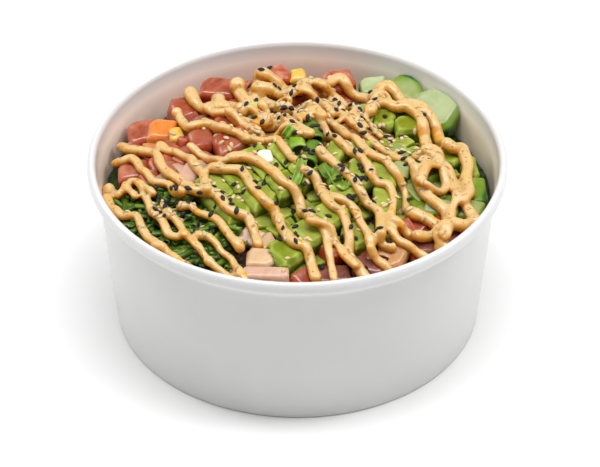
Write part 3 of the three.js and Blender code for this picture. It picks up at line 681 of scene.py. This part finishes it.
def sauce_look():
    look = Look("sauce", 0.3, 0.4, (0.7, 4, (1.0, 0.5, 0.2)), (0.3, 0.15))
    base = look.blotches(10, (0.62, 0.41, 0.14), (0.69, 0.51, 0.26), 0.5)
    # Faces that stand sideways turn a deeper, more saturated orange: painted shade with a painted glow.
    sauce_side_shade = look.mix(look.graded("side", 0.12, 0.85), base, (0.60, 0.27, 0.018))
    specks = look.blotches(2, 0.0, 0.9, 0.4, (0.61, 0.66))
    spotted = look.mix(specks, sauce_side_shade, (0.43, 0.155, 0.035))
    oil = look.blotches(6, 0.0, 0.95, 1.0, (0.61, 0.67), 4)
    return look.finished(look.mix(oil, spotted, (0.78, 0.34, 0.012)), (3.0, 0.25), (0.9, 0.06))


def bed_look():
    look = Look("bed", 0.45, 0.2, (0.1, 2, PLAIN_SCATTER), (0.08, PLAIN_COAT))
    # The marinade and herbs are dark partly in their own colour and partly as painted shade for the gaps
    # between toppings.
    marinade_and_shade = look.blotches(2.5, (0.012, 0.005, 0.002), (0.08, 0.024, 0.006), stops=(0.35, 0.65))
    herbs_and_shade = look.blotches(2.5, (0.004, 0.012, 0.002), (0.02, 0.06, 0.008), stops=(0.35, 0.65))
    crumbs = look.blotches(1.5, (0.16, 0.05, 0.012), (0.50, 0.25, 0.08), stops=(0.35, 0.65))
    soaked = look.mix(look.attribute("crumb"), marinade_and_shade, crumbs)
    return look.finished(look.mix(look.attribute("green"), soaked, herbs_and_shade), (1.5, 0.8, 1.0, 4))


def seed_look(name, low, high, roughness):
    look = Look(name, roughness, 0.3, (0.1, 1, PLAIN_SCATTER))
    colour = look.mix(look.attribute("tint"), look.blotches(2.2, low, high), high)
    return look.finished(colour, (0.5, 0.05, 0.6, 2))


# ---- Pieces ----


def piece(name, parts, material, slot, nodes=(), tints=None, **attributes):
    """One object from arrays that rides on the model and may stand for some of its nodes."""
    mesh = mesh_from(name, *joined(parts))
    mesh.materials.append(material)
    if tints:
        attributes["tint"] = np.repeat(tints, [len(points) for points, _ in parts])
    for label, values in attributes.items():
        attribute = mesh.attributes.new(label, "FLOAT", "POINT")
        attribute.data.foreach_set("value", np.asarray(values, np.float32))
    made = linked(name, mesh)
    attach(made, "root")
    if nodes:
        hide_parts(*nodes)


# ---- The bowl ----


def wall_radius(z):
    return BASE_RADIUS + (WALL_TOP_RADIUS - BASE_RADIUS) / UNDER_BEAD * z


def make_bowl():
    foot = BASE_RADIUS - FOOT_WIDTH
    bead_x = RIM_RADIUS - BEAD_WIDTH / 2
    bead_z = BOWL_HEIGHT - BEAD_HEIGHT / 2
    inside = wall_radius(FLOOR) - WALL
    profile = [(0, FOOT_HEIGHT), (foot - CORNER, FOOT_HEIGHT), (foot, FOOT_HEIGHT - CORNER)]
    profile += [(foot, FOOT_ROUND), (foot + CORNER / 2, CORNER / 4), (foot + FOOT_FLAT, 0)]
    profile += [(BASE_RADIUS - FOOT_ROUND, 0), (BASE_RADIUS - CORNER / 2, CORNER / 3)]
    profile += [(wall_radius(FOOT_ROUND), FOOT_ROUND)]
    profile += [(wall_radius(z), z) for z in np.linspace(OUTER_START, UNDER_BEAD, OUTER_RINGS)]
    for turn in np.radians(np.linspace(*BEAD_ARC, BEAD_RINGS)):
        x = bead_x + BEAD_WIDTH / 2 * math.cos(turn)
        profile.append((x, bead_z + BEAD_HEIGHT / 2 * math.sin(turn)))
    profile += [(wall_radius(z) - WALL, z) for z in np.linspace(INNER_END, FLOOR + FLOOR_BEND, INNER_RINGS)]
    profile += [(inside - CORNER, FLOOR + CORNER), (inside - FLOOR_BEND, FLOOR), (0, FLOOR)]
    points, triangles = lathe(profile, BOWL_SIDES)
    away = np.hypot(points[:, 0], points[:, 1])
    # Masks for the painted tones: the inside and the bead are painted lighter than the outer wall.
    inner = (points[:, 2] > FOOT_HEIGHT + WALL / 8) & (away < wall_radius(points[:, 2]) - WALL / 2)
    bead = points[:, 2] > UNDER_BEAD - CORNER / 2
    # How far down each point lies, for the inside's painted shade and painted bounced food colour.
    low = np.clip((BOWL_HEIGHT - points[:, 2]) / BOUNCE_SHADE_DEPTH, 0, 1)
    parts = [(points, triangles)]
    piece("paper_bowl", parts, paper_look(), "paper", ["bowl"], inner=inner, bead=bead, low=low)


# ---- Toppings ----


# How light some of the pieces are, from 0 to 1. The others take a random tint. A piece's sides take
# their darkest painted shade at the full depth.
FULL_DEPTH = 12.0
OTHER_TINTS = (0.3, 1.0)
RIPPLE_SEEDS = 9
TINTS = {
    "tuna": [0.7, 0.6, 0.5, 0.9, 0.8, 0.55, 0.5, 0.45, 0.75, 0.65, 0.45, 0.0, 0.05, 0.1, 0.05],
    "salmon": [0.0, 1.0],
    "pale_fish": [0.3, 0.2, 1.0],
    "avocado": [
        0.35, 0.8, 0.45, 0.7, 0.3, 0.55, 0.9, 0.4, 0.75, 0.3, 0.8, 0.9, 0.7, 1.0, 0.8, 0.7, 0.9, 0.6,
        0.05, 0.1, 0.25, 0.3,
    ],
    "cucumber": [0.05, 0.9, 0.0, 0.5, 1.0, 0.6, 0.15, 0.4],
}


def nodes_of(kind):
    """The nodes of a kind, in the order of their numbers."""
    found = [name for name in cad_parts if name.rsplit("_", 1)[0] == kind]
    return sorted(found, key=lambda name: int(name.rsplit("_", 1)[1]))


def worn_toppings(kind, rng):
    """All toppings of a kind, worn from their solids."""
    return [worn(*arrays_of(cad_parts[node].data), kind, rng) for node in nodes_of(kind)]


def worn(points, triangles, kind, rng):
    points, triangles = remeshed(points, triangles, TOPPING_VOXEL)
    points = rounded(points, triangles, rng.random() * RIPPLE_SEEDS, *WEAR[kind])
    return thinned(points, triangles, KEPT_SHARE)


def filler(kind, x, y, heading, rng):
    """A smaller piece of a kind, sunk among its neighbours."""
    size = np.array([rng.uniform(*FILL_SIZES), rng.uniform(*FILL_SIZES), FILL_HEIGHT])
    corners = np.array([(a, b, c) for c in (-1, 0) for b in (-0.5, 0.5) for a in (-0.5, 0.5)]) * size
    corners += np.array([rng.uniform(-FILL_JITTER, FILL_JITTER) for _ in range(24)]).reshape(8, 3)
    sides = [(0, 2, 3), (0, 3, 1), (4, 5, 7), (4, 7, 6), (0, 1, 5), (0, 5, 4)]
    sides += [(2, 6, 7), (2, 7, 3), (0, 4, 6), (0, 6, 2), (1, 3, 7), (1, 7, 5)]
    lean_x, lean_y = (Matrix.Rotation(rng.gauss(0, FILL_LEAN), 3, axis) for axis in "XY")
    place = (x, y, heap_top(x, y) - rng.uniform(*FILL_DEPTHS.get(kind, USUAL_FILL_DEPTHS)))
    points = placed(corners, place, Matrix.Rotation(heading, 3, "Z") @ (lean_x @ lean_y))
    return worn(points, np.array(sides), kind, rng)


def fill_gaps(toppings, rng):
    """Adds smaller pieces to the kinds of topping wherever the bed lies bare between them."""
    heights = Heights([part for parts in toppings.values() for part in parts])
    middles = [(kind, part[0].mean(0)) for kind in FILL_KINDS for part in toppings[kind]]
    marks = np.arange(-FILL_REACH, FILL_REACH, FILL_STEP)
    for x0 in marks:
        for y0 in marks:
            x = x0 + rng.uniform(-FILL_STRAY, FILL_STRAY)
            y = y0 + rng.uniform(-FILL_STRAY, FILL_STRAY)
            top = max(heights.map[heights.cell(x, y)], bed_top(x, y))
            filled = top > heap_top(x, y) - FILL_GAP
            if math.hypot(x, y) > FILL_REACH or filled or greens_rise(x, y) > GREENS_EDGE:
                continue
            kind, _ = min(middles, key=lambda known: math.hypot(x - known[1][0], y - known[1][1]))
            toppings[kind].append(filler(kind, x, y, rng.uniform(*FILL_HEADINGS), rng))


def side_of(points, triangles):
    """How upright the surface stands at each point: 0 faces up and 1 faces sideways or down."""
    return 1 - np.clip(normals_of(points, triangles)[:, 2], 0, 1)


def depth_of(points, _):
    """How far each point lies below its piece's top, as a share of the full depth."""
    return (points[:, 2].max() - points[:, 2]) / FULL_DEPTH


def make_toppings(kind, parts, material, rng):
    """The piece of a kind, with attributes that its material reads."""
    nodes = nodes_of(kind)
    known = TINTS.get(kind, [])
    tints = known + [rng.uniform(*OTHER_TINTS) for _ in parts[len(known):]]
    attributes = {}
    # The side, edge and depth attributes steer painted shade on sides and lower parts and a painted
    # highlight on edges.
    for label, measure in (("side", side_of), ("edge", edge_of), ("depth", depth_of)):
        attributes[label] = np.concatenate([measure(*part) for part in parts])
    if kind == "cucumber":
        names = nodes + [None] * (len(parts) - len(nodes))
        skins = [skin_of(points, name) for (points, _), name in zip(parts, names)]
        attributes["skin"] = np.concatenate(skins)
    piece(f"{kind}_pieces", parts, material, kind, nodes, tints, **attributes)


# The side that the dark skin of a cucumber piece faces, where it shows, and how far it fades inwards.
SKIN_FADE = 9.0
SKIN_SIDES = {
    "cucumber_1": (0.5, -0.75, -0.45),
    "cucumber_2": (0.45, 0.8, 0.5),
    "cucumber_5": (0.9, -0.2, 0.2),
}


def skin_of(points, node):
    """How far each point of a cucumber piece is on its skin, from 0 to 1."""
    if node not in SKIN_SIDES:
        return np.zeros(len(points))
    side = np.array(SKIN_SIDES[node]) / np.linalg.norm(SKIN_SIDES[node])
    reach = points @ side
    return np.clip(1 - (reach.max() - reach) / SKIN_FADE, 0, 1)


# Stalks of scallion: their shares of the solid's length and radius, where they start on the way from
# -1 to 1, how far that end is raised, their wall, how oval they are, and their tints.
STALK_LENGTH_SHARE = 0.96
STALK_RADIUS_SHARE = 0.98
STALK_START = -0.72
STALK_STEPS = 9
STALK_RISE = 0.8
STALK_WALL = 0.7
STALK_OVAL = 0.86
STALK_TINTS = [0.3, 0.95, 0.35, 0.5]


def make_scallions():
    parts = []
    nodes = nodes_of("scallion")
    for node in nodes:
        points, _ = arrays_of(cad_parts[node].data)
        middle = (points.min(0) + points.max(0)) / 2
        _, _, axes = np.linalg.svd(points - points.mean(0), full_matrices=False)
        along = axes[0] * (1 if axes[0][1] > 0 else -1)
        half = np.ptp(points @ along) / 2 * STALK_LENGTH_SHARE
        radius = np.ptp(points @ axes[1]) / 2 * STALK_RADIUS_SHARE
        steps = np.linspace(STALK_START, 1, STALK_STEPS)[:, None]
        rise = np.array((0, 0, STALK_RISE)) * (1 - steps)
        path = middle + along * steps * half + rise
        parts.append(hollow_stalk(path, radius, STALK_WALL, oval=STALK_OVAL))
    piece("scallion_pieces", parts, scallion_look(), "scallion", nodes, STALK_TINTS)
    return parts


# ---- The bed ----


def heap_top(x, y):
    return HEAP_TOP - HEAP_DROP * (x * x + y * y) / HEAP_RADIUS**2


def mound(x, y, place):
    centre_x, centre_y, reach, rise = place
    away = np.hypot(x - centre_x, y - centre_y) / reach
    return rise * np.sqrt(np.clip(1 - away * away, 0, 1))


def greens_rise(x, y):
    return np.maximum(mound(x, y, GREENS[0]), mound(x, y, GREENS[1]))


def bed_top(x, y):
    rise = greens_rise(x, y) + mound(x, y, MIDDLE) + mound(x, y, HOLLOW)
    across, back, slanted = BED_WAVES
    bumps = BED_BUMP * (np.sin(x * across + 1) * np.cos(y * back) + np.sin((x + y) * slanted))
    return heap_top(x, y) - BED_DEPTH + rise + bumps


# The height, size and seed of each layer of roughness on the bed, where it turns green at the right and
# the left, and how high a mound has to rise to take its full colour.
BED_LAYERS = ((1.1, 3.2, 3), (0.5, 1.4, 5))
GREEN_RIGHT = 34.0
GREEN_LEFT = 60.0
GREEN_FADE = 8.0
FULL_RISE = 2.0


def make_bed():
    """The bed's rough top on a plain body that fills the bowl."""
    floor = FLOOR + BED_CLEARANCE
    profile = [(0, floor), (wall_radius(FOOT_HEIGHT) - BED_FOOT, floor)]
    profile += [(BED_RADIUS * k / BED_RINGS, HEAP_TOP) for k in range(BED_RINGS, 0, -1)] + [(0, HEAP_TOP)]
    points, triangles = lathe(profile, BED_SIDES)
    top = points[:, 2] == HEAP_TOP
    x, y = points[top, 0], points[top, 1]
    flat = np.column_stack([x, y, 0 * x])
    points[top, 2] = bed_top(x, y) + sum(rise * ripple(flat, size, seed) for rise, size, seed in BED_LAYERS)
    x, y = points[:, 0], points[:, 1]
    beside = np.maximum(x - GREEN_RIGHT, -x - GREEN_LEFT) / GREEN_FADE
    green = np.clip(greens_rise(x, y) / FULL_RISE + beside, 0, 1)
    crumb = np.clip(mound(x, y, MIDDLE) / FULL_RISE, 0, 1)
    piece("bed", [(points, triangles)], bed_look(), "sauce", ["bed_and_sauce"], green=green, crumb=crumb)
    return points, triangles


# ---- Heights of what lies under the sauce ----


def tree_of(parts):
    points, triangles = joined(parts)
    return BVHTree.FromPolygons(points.tolist(), triangles.tolist())


def below(tree, x, y):
    """Where the surface is under a plan place, and its normal."""
    return tree.ray_cast(Vector((x, y, SKY)), Vector((0, 0, -1)))[:2]


GRID_REACH = 82.0
GRID_STEP = 0.5


class Heights:
    """The highest surface over each square of a grid."""

    def __init__(self, parts):
        tree = tree_of(parts)
        self.marks = np.arange(-GRID_REACH, GRID_REACH + GRID_STEP / 2, GRID_STEP)
        self.map = np.zeros((len(self.marks), len(self.marks)))
        for i, x in enumerate(self.marks):
            for j, y in enumerate(self.marks):
                if x * x + y * y < BED_RADIUS**2:
                    hit, _ = below(tree, x, y)
                    self.map[i, j] = hit.z if hit else 0.0

    def cell(self, x, y):
        last = len(self.marks) - 1
        i = min(max(round((x + GRID_REACH) / GRID_STEP), 0), last)
        j = min(max(round((y + GRID_REACH) / GRID_STEP), 0), last)
        return i, j

    def window(self, x, y, radius):
        """The cells within a radius of a place, and how far each is from it."""
        i, j = self.cell(x, y)
        reach = math.ceil(radius / GRID_STEP)
        rows = slice(max(i - reach, 0), i + reach + 1)
        columns = slice(max(j - reach, 0), j + reach + 1)
        away = np.hypot(self.marks[rows, None] - x, self.marks[None, columns] - y)
        return rows, columns, away

    def rest(self, x, y, radius):
        """The height of the middle of a ball that rests at a place."""
        rows, columns, away = self.window(x, y, radius)
        inside = away <= radius
        tops = self.map[rows, columns] + np.sqrt(np.clip(radius**2 - away**2, 0, None))
        return tops[inside].max() if inside.any() else 0.0

    def cover(self, x, y, z, radius, share):
        """Raises the map to a share of a ball's top."""
        rows, columns, away = self.window(x, y, radius)
        top = z + share * np.sqrt(np.clip(radius**2 - away**2, 0, None))
        patch = self.map[rows, columns]
        self.map[rows, columns] = np.where(away < radius, np.maximum(patch, top), patch)


# ---- Sauce ----


def spline(points, step):
    """A smooth curve through plan points, sampled at about a step."""
    known = np.array(points, float)
    ends = np.vstack([2 * known[0] - known[1], known, 2 * known[-1] - known[-2]])
    samples = []
    for a, b, c, d in zip(ends, ends[1:], ends[2:], ends[3:]):
        count = max(2, int(np.linalg.norm(c - b) / step))
        for t in np.arange(count) / count:
            square = (2 * a - 5 * b + 4 * c - d) * t**2
            cube = (3 * b - a - 3 * c + d) * t**3
            samples.append(0.5 * (2 * b + (c - a) * t + square + cube))
    samples.append(known[-1])
    return np.array(samples)


# How strands are sampled, drop, sink and rest on each other, and the top of the highest.
STRAND_STEP = 0.8
STEEPEST = 1.1
DROP_ROUNDS = 8
STRAND_SINK = 0.3
COVER_SHARE = 0.1
HEAP_PEAK = 79.3
# Long and short swells along a strand as a height and a length, and its thicker ends.
SWELL = (0.28, 8.0)
WAVER = (0.08, 3.6)
WAVER_SEEDS = 50
STRANDS_APART = 3.1
THICKNESS_RANGE = (0.8, 1.35)
END_MARKS = 4
END_SHARE = 1.12
# A strand that rises above the plain dome moves to the front, and so stays on its line in the photo.
TRACED_RISE = 1.5
SHIFT_RANGE = (-9.0, 1.5)
SHIFT_ROUNDS = 6
SHIFT_EVENING = 16
WALL_SHARE = 0.9


def evened(values, rounds):
    """Values along a line, each drawn towards its neighbours."""
    for _ in range(rounds):
        between = 0.25 * values[:-2] + 0.5 * values[1:-1] + 0.25 * values[2:]
        values = np.concatenate([values[:1], between, values[-1:]])
    return values


def lying(x, y, radii, heights):
    """The heights at which a strand lies, with no drop steeper than it can hang."""
    z = np.array([heights.rest(*place) for place in zip(x, y, radii)])
    drop = STEEPEST * STRAND_STEP
    for i in range(1, len(z)):
        z[i] = max(z[i], z[i - 1] - drop)
    for i in range(len(z) - 2, -1, -1):
        z[i] = max(z[i], z[i + 1] - drop)
    return evened(z, DROP_ROUNDS) - STRAND_SINK * radii


def strand(share, points, heights, seed):
    """A strand of sauce on what is under it. Its plan points are where it shows on the plain dome."""
    plan = spline(points, STRAND_STEP)
    count = len(plan)
    along = np.arange(count) * STRAND_STEP
    marks = np.column_stack([along, np.full(count, seed * STRANDS_APART), np.zeros(count)])
    swell = SWELL[0] * ripple(marks, SWELL[1], seed)
    waver = WAVER[0] * ripple(marks, WAVER[1], seed + WAVER_SEEDS)
    uneven = 1 + swell + waver
    radii = share * STRAND_RADIUS * np.clip(uneven, *THICKNESS_RANGE)
    radii[:END_MARKS] *= END_SHARE
    radii[-END_MARKS:] *= END_SHARE
    shift = np.zeros(count)
    for _ in range(SHIFT_ROUNDS):
        z = lying(plan[:, 0], plan[:, 1] + shift, radii, heights)
        raised = z - heap_top(plan[:, 0], plan[:, 1] + shift) - TRACED_RISE
        wanted = np.clip(-raised / math.tan(CAMERA_ELEVATION), *SHIFT_RANGE)
        shift = evened(0.5 * shift + 0.5 * wanted, SHIFT_EVENING)
    plan[:, 1] += shift
    z = np.minimum(lying(plan[:, 0], plan[:, 1], radii, heights), HEAP_PEAK - radii)
    room = wall_radius(z) - WALL - WALL_SHARE * radii
    plan *= np.minimum(room / np.maximum(np.hypot(plan[:, 0], plan[:, 1]), 1), 1)[:, None]
    for (x, y), height, r in zip(plan[::2], z[::2], radii[::2]):
        heights.cover(x, y, height, r, COVER_SHARE)
    return tube(np.column_stack([plan, z]), radii)


def spiral(x, y, reach):
    """Plan points that wind outwards from a pool's middle."""
    turns = np.linspace(POOL_START, 1, POOL_MARKS * math.ceil(reach / POOL_PITCH))
    winds = 2 * math.pi * reach / POOL_PITCH
    return [(x + reach * t * math.cos(winds * t), y + reach * t * math.sin(winds * t)) for t in turns]


# The joined sauce: smoothing rounds, how far it swells, and its ripples as a height, a size and a seed.
SAUCE_ROUNDS = 6
SAUCE_SWELL = 0.14
SAUCE_RIPPLE = (0.1, 2.6, 9)


def make_sauce(heights):
    lines = STRANDS + THREADS + [(POOL_SHARE, spiral(*pool)) for pool in POOLS]
    tubes = [strand(share, points, heights, seed) for seed, (share, points) in enumerate(lines)]
    points, triangles = remeshed(*joined(tubes), SAUCE_VOXEL)
    points, triangles = thinned(smoothed(points, triangles, SAUCE_ROUNDS), triangles, SAUCE_KEPT_SHARE)
    height, size, seed = SAUCE_RIPPLE
    rise = SAUCE_SWELL + height * ripple(points, size, seed)
    points += normals_of(points, triangles) * rise[:, None]
    made = points, triangles
    # Its side attribute steers painted shade on faces that stand sideways.
    piece("sauce", [made], sauce_look(), "sauce", ["bed_and_sauce"], side=side_of(*made))
    return made


# ---- Small things ----


# The form of a seed, how seeds scatter and tilt, and how steep a place may be for one to lie there.
SEED_BLUNTNESS = 0.75
SEED_BUTT = 1.12
SEED_TAPER = 0.5
SCATTER_SHARE = 0.6
SEED_TILT = 0.18
STEEPEST_SEAT = 0.25


def seed_shape(length, width, thickness, sides=8, rings=6):
    """A flat drop: round at one end and pointed at the other."""
    points = [(-length / 2, 0, 0)]
    for k in range(1, rings):
        t = k / rings
        x = length * (t - 0.5)
        r = math.sin(math.pi * t) ** SEED_BLUNTNESS * (SEED_BUTT - SEED_TAPER * t)
        for i in range(sides):
            turn = 2 * math.pi * i / sides
            points.append((x, width / 2 * r * math.cos(turn), thickness / 2 * r * math.sin(turn)))
    points.append((length / 2, 0, 0))
    return np.array(points), capped(rings - 1, sides)


def crumb_shape():
    """A rough lump about 1 mm across."""
    points, triangles = seed_shape(1.0, 0.9, 0.7, 6, 5)
    return points * (1 + 0.3 * ripple(points, 0.6, 2))[:, None], triangles


def scatter(clusters, tree, shape, rng, sink, sizes=(0.86, 1.12)):
    """Copies of a shape laid flat on the surface around each cluster's middle."""
    base_points, base_triangles = shape
    parts = []
    for x0, y0, reach, count in clusters:
        for _ in range(count):
            x, y = rng.gauss(x0, reach * SCATTER_SHARE), rng.gauss(y0, reach * SCATTER_SHARE)
            if math.hypot(x, y) > FOOD_REACH:
                continue
            place, normal = below(tree, x, y)
            if place is None or normal.z < STEEPEST_SEAT:
                continue
            tilt = Vector((rng.gauss(0, SEED_TILT), rng.gauss(0, SEED_TILT), 0))
            turn = turned(normal + tilt, rng.uniform(0, 2 * math.pi))
            size = rng.uniform(*sizes)
            parts.append((placed(base_points * size, place + normal * sink, turn), base_triangles))
    return parts


def make_seeds(name, clusters, tree, shape, material, rng, **settings):
    parts = scatter(clusters, tree, shape, rng, **settings)
    tints = [rng.random() for _ in parts]
    piece(name, parts, material, "sauce", ["bed_and_sauce"], tints)


# Chives: their number, the share of flat leaves, their sizes, and how they lie, rise and bend.
CHIVES = 190
LEAF_SHARE = 0.35
CHIVE_LENGTHS = (5, 14)
CHIVE_RADII = (0.9, 1.5)
CHIVE_MARKS = 6
CHIVE_HEADING = (0.65, 0.45)
CHIVE_RISE = 2.5
CHIVE_SINK = (-1.2, 0.1)
CHIVE_SLOPE = 0.2
CHIVE_BEND = 0.05
CHIVE_WALL = 0.4
CHIVE_OVALS = (0.6, 1.0)
CHIVE_LIGHTEST = 0.6
LEAF_WIDTH = 2.2
LEAF_SPREADS = (1.2, 2.6)
CHIVE_LEAF_WALL = 0.35


def make_chives(heights, rng):
    """Cut stalks and leaves heaped on the mound of greens."""
    parts, tints = [], []
    while len(parts) < CHIVES:
        x0, y0, reach, _ = GREENS[len(parts) % 2]
        x = x0 + rng.uniform(-1, 1) * reach
        y = y0 + rng.uniform(-1, 1) * reach
        if math.hypot(x, y) > FOOD_REACH or math.hypot(x - x0, y - y0) > reach:
            continue
        length = rng.uniform(*CHIVE_LENGTHS)
        radius = rng.uniform(*CHIVE_RADII)
        heading = rng.gauss(*CHIVE_HEADING) if y < y0 else rng.uniform(0, math.pi)
        z = min(heights.rest(x, y, radius), bed_top(x, y) + CHIVE_RISE) + rng.uniform(*CHIVE_SINK)
        along = np.array((math.cos(heading), math.sin(heading), rng.gauss(0, CHIVE_SLOPE)))
        steps = np.linspace(-0.5, 0.5, CHIVE_MARKS)[:, None]
        aside = np.array((-math.sin(heading), math.cos(heading), 0.3))
        bend = aside * rng.gauss(0, CHIVE_BEND) * length
        path = np.array((x, y, z)) + along * steps * length + bend * (1 - 4 * steps**2)
        for place in path:
            heights.cover(*place, radius, 1.0)
        if rng.random() < LEAF_SHARE:
            parts.append(leaf(path, LEAF_WIDTH * radius, CHIVE_LEAF_WALL, rng.uniform(*LEAF_SPREADS)))
        else:
            oval = rng.uniform(*CHIVE_OVALS)
            parts.append(hollow_stalk(path, radius, CHIVE_WALL, sides=10, oval=oval))
        tints.append(rng.random() ** 2 * CHIVE_LIGHTEST)
    piece("chives", parts, scallion_look(), "scallion", ["bed_and_sauce"], tints)
    return parts


# Small curled bits of scallion on top: their plan points, radius, how far round they curl, and how
# light they are.
SCALLION_BITS = [
    ([(9, -9), (12, -16)], 2.3, 2.6, 0.4),
    ([(13, -13), (18, -21)], 2.6, 2.4, 0.6),
    ([(20, -20), (22, -13), (25, -18)], 1.0, 2.4, 0.7),
    ([(-1, -20), (2, -11)], 2.0, 2.8, 0.8),
    ([(-5, 8), (-2, 10)], 1.8, 4.5, 0.9),
]
BIT_WALL = 0.5
BIT_RISE = 0.95
BIT_EVENING = 20


def make_scallion_bits(tree):
    parts = []
    for points, radius, curl, _ in SCALLION_BITS:
        plan = spline(points, STRAND_STEP)
        tops = np.array([below(tree, x, y)[0].z for x, y in plan])
        path = np.column_stack([plan, evened(tops, BIT_EVENING) + BIT_RISE * radius])
        parts.append(leaf(path, radius, BIT_WALL, curl, sides=12))
    piece("scallion_bits", parts, scallion_look(), "scallion", tints=[bit[-1] for bit in SCALLION_BITS])
    return parts


# ---- Stage ----


FLOOR_REACH = 4000.0
WORLD_STRENGTH = 0.35
LIT_HEIGHT = 60.0
# Rectangular lights that face the bowl: place and size in metres, and power in watts.
SOFTBOXES = {
    "overhead": ((0.0, -0.1, 1.3), (1.1, 0.5), 14.5),
    "left_side": ((-1.0, 0.4, 0.7), (0.6, 0.6), 4.2),
    "right_side": ((0.9, 0.1, 1.0), (0.5, 0.5), 6.0),
}


def make_stage():
    camera = linked("camera", bpy.data.cameras.new("camera"))
    camera.data.lens = LENS
    camera.data.sensor_width = SENSOR
    back = Vector((0, -math.cos(CAMERA_ELEVATION), math.sin(CAMERA_ELEVATION)))
    camera.location = (AIM + back * CAMERA_DISTANCE) * MM
    camera.rotation_euler = (math.pi / 2 - CAMERA_ELEVATION, 0, 0)
    bpy.context.scene.camera = camera

    look = Look("floor", 0.8)
    corners = [(a * FLOOR_REACH, b * FLOOR_REACH, 0) for a, b in ((-1, -1), (1, -1), (1, 1), (-1, 1))]
    floor_mesh = mesh_from("floor", corners, [(0, 1, 2), (0, 2, 3)])
    floor_mesh.materials.append(look.finished(look.blotches(400, 0.9, 0.92, detail=2)))
    linked("floor", floor_mesh)

    world = bpy.data.worlds.new("studio")
    world.use_nodes = True
    background = world.node_tree.nodes["Background"]
    background.inputs["Color"].default_value = (1.0, 1.0, 1.0, 1.0)
    background.inputs["Strength"].default_value = WORLD_STRENGTH
    bpy.context.scene.world = world

    for name, settings in SOFTBOXES.items():
        softbox(name, *settings)
    bpy.context.scene.view_settings.view_transform = "Standard"


def softbox(name, place, size, power):
    light = linked(name, bpy.data.lights.new(name, "AREA"))
    light.data.shape = "RECTANGLE"
    light.data.size, light.data.size_y = size
    light.data.energy = power
    light.location = place
    aim = Vector((0, 0, LIT_HEIGHT * MM)) - Vector(place)
    light.rotation_euler = aim.to_track_quat("-Z", "Y").to_euler()


# ---- The whole ----


# The plainer foods: two colours, the size of their patches, and roughness.
PLAIN_FOODS = {
    "corn": ((0.70, 0.38, 0.035), (0.78, 0.52, 0.12), 5, 0.28),
    "onion": ((0.48, 0.54, 0.15), (0.64, 0.66, 0.32), 4, 0.3),
    "tofu": ((0.72, 0.69, 0.58), (0.80, 0.78, 0.70), 3, 0.45),
}
BLACK_SEED = (3.5, 2.1, 1.35)
TAN_SEED = (3.1, 1.9, 1.2)


def main():
    rng = random.Random(11)
    make_stage()
    make_bowl()
    looks = {
        "tuna": tuna_look(),
        "salmon": salmon_look(),
        "pale_fish": pale_fish_look(),
        "avocado": avocado_look(),
        "cucumber": cucumber_look(),
    }
    looks.update({kind: plain_food_look(kind, *settings) for kind, settings in PLAIN_FOODS.items()})
    toppings = {kind: worn_toppings(kind, rng) for kind in looks}
    fill_gaps(toppings, rng)
    for kind, look in looks.items():
        make_toppings(kind, toppings[kind], look, rng)
    parts = [part for kind in looks if kind != "tofu" for part in toppings[kind]]
    parts += make_scallions()
    parts.append(make_bed())
    heights = Heights(parts)
    parts += make_chives(heights, rng)
    parts.append(make_sauce(heights))
    parts += toppings["tofu"]
    parts += make_scallion_bits(tree_of(parts))
    tree = tree_of(parts)
    black = seed_look("black_seed", (0.006, 0.006, 0.007), (0.018, 0.018, 0.020), 0.5)
    tan = seed_look("tan_seed", (0.52, 0.31, 0.12), (0.72, 0.55, 0.31), 0.5)
    toasted = seed_look("crumb", (0.46, 0.24, 0.09), (0.74, 0.56, 0.34), 0.6)
    make_seeds("black_seeds", BLACK_SEEDS, tree, seed_shape(*BLACK_SEED), black, rng, sink=0.3)
    make_seeds("tan_seeds", TAN_SEEDS, tree, seed_shape(*TAN_SEED), tan, rng, sink=0.15)
    make_seeds("crumbs", CRUMBS, tree, crumb_shape(), toasted, rng, sink=0.2, sizes=(1.0, 2.6))


main()
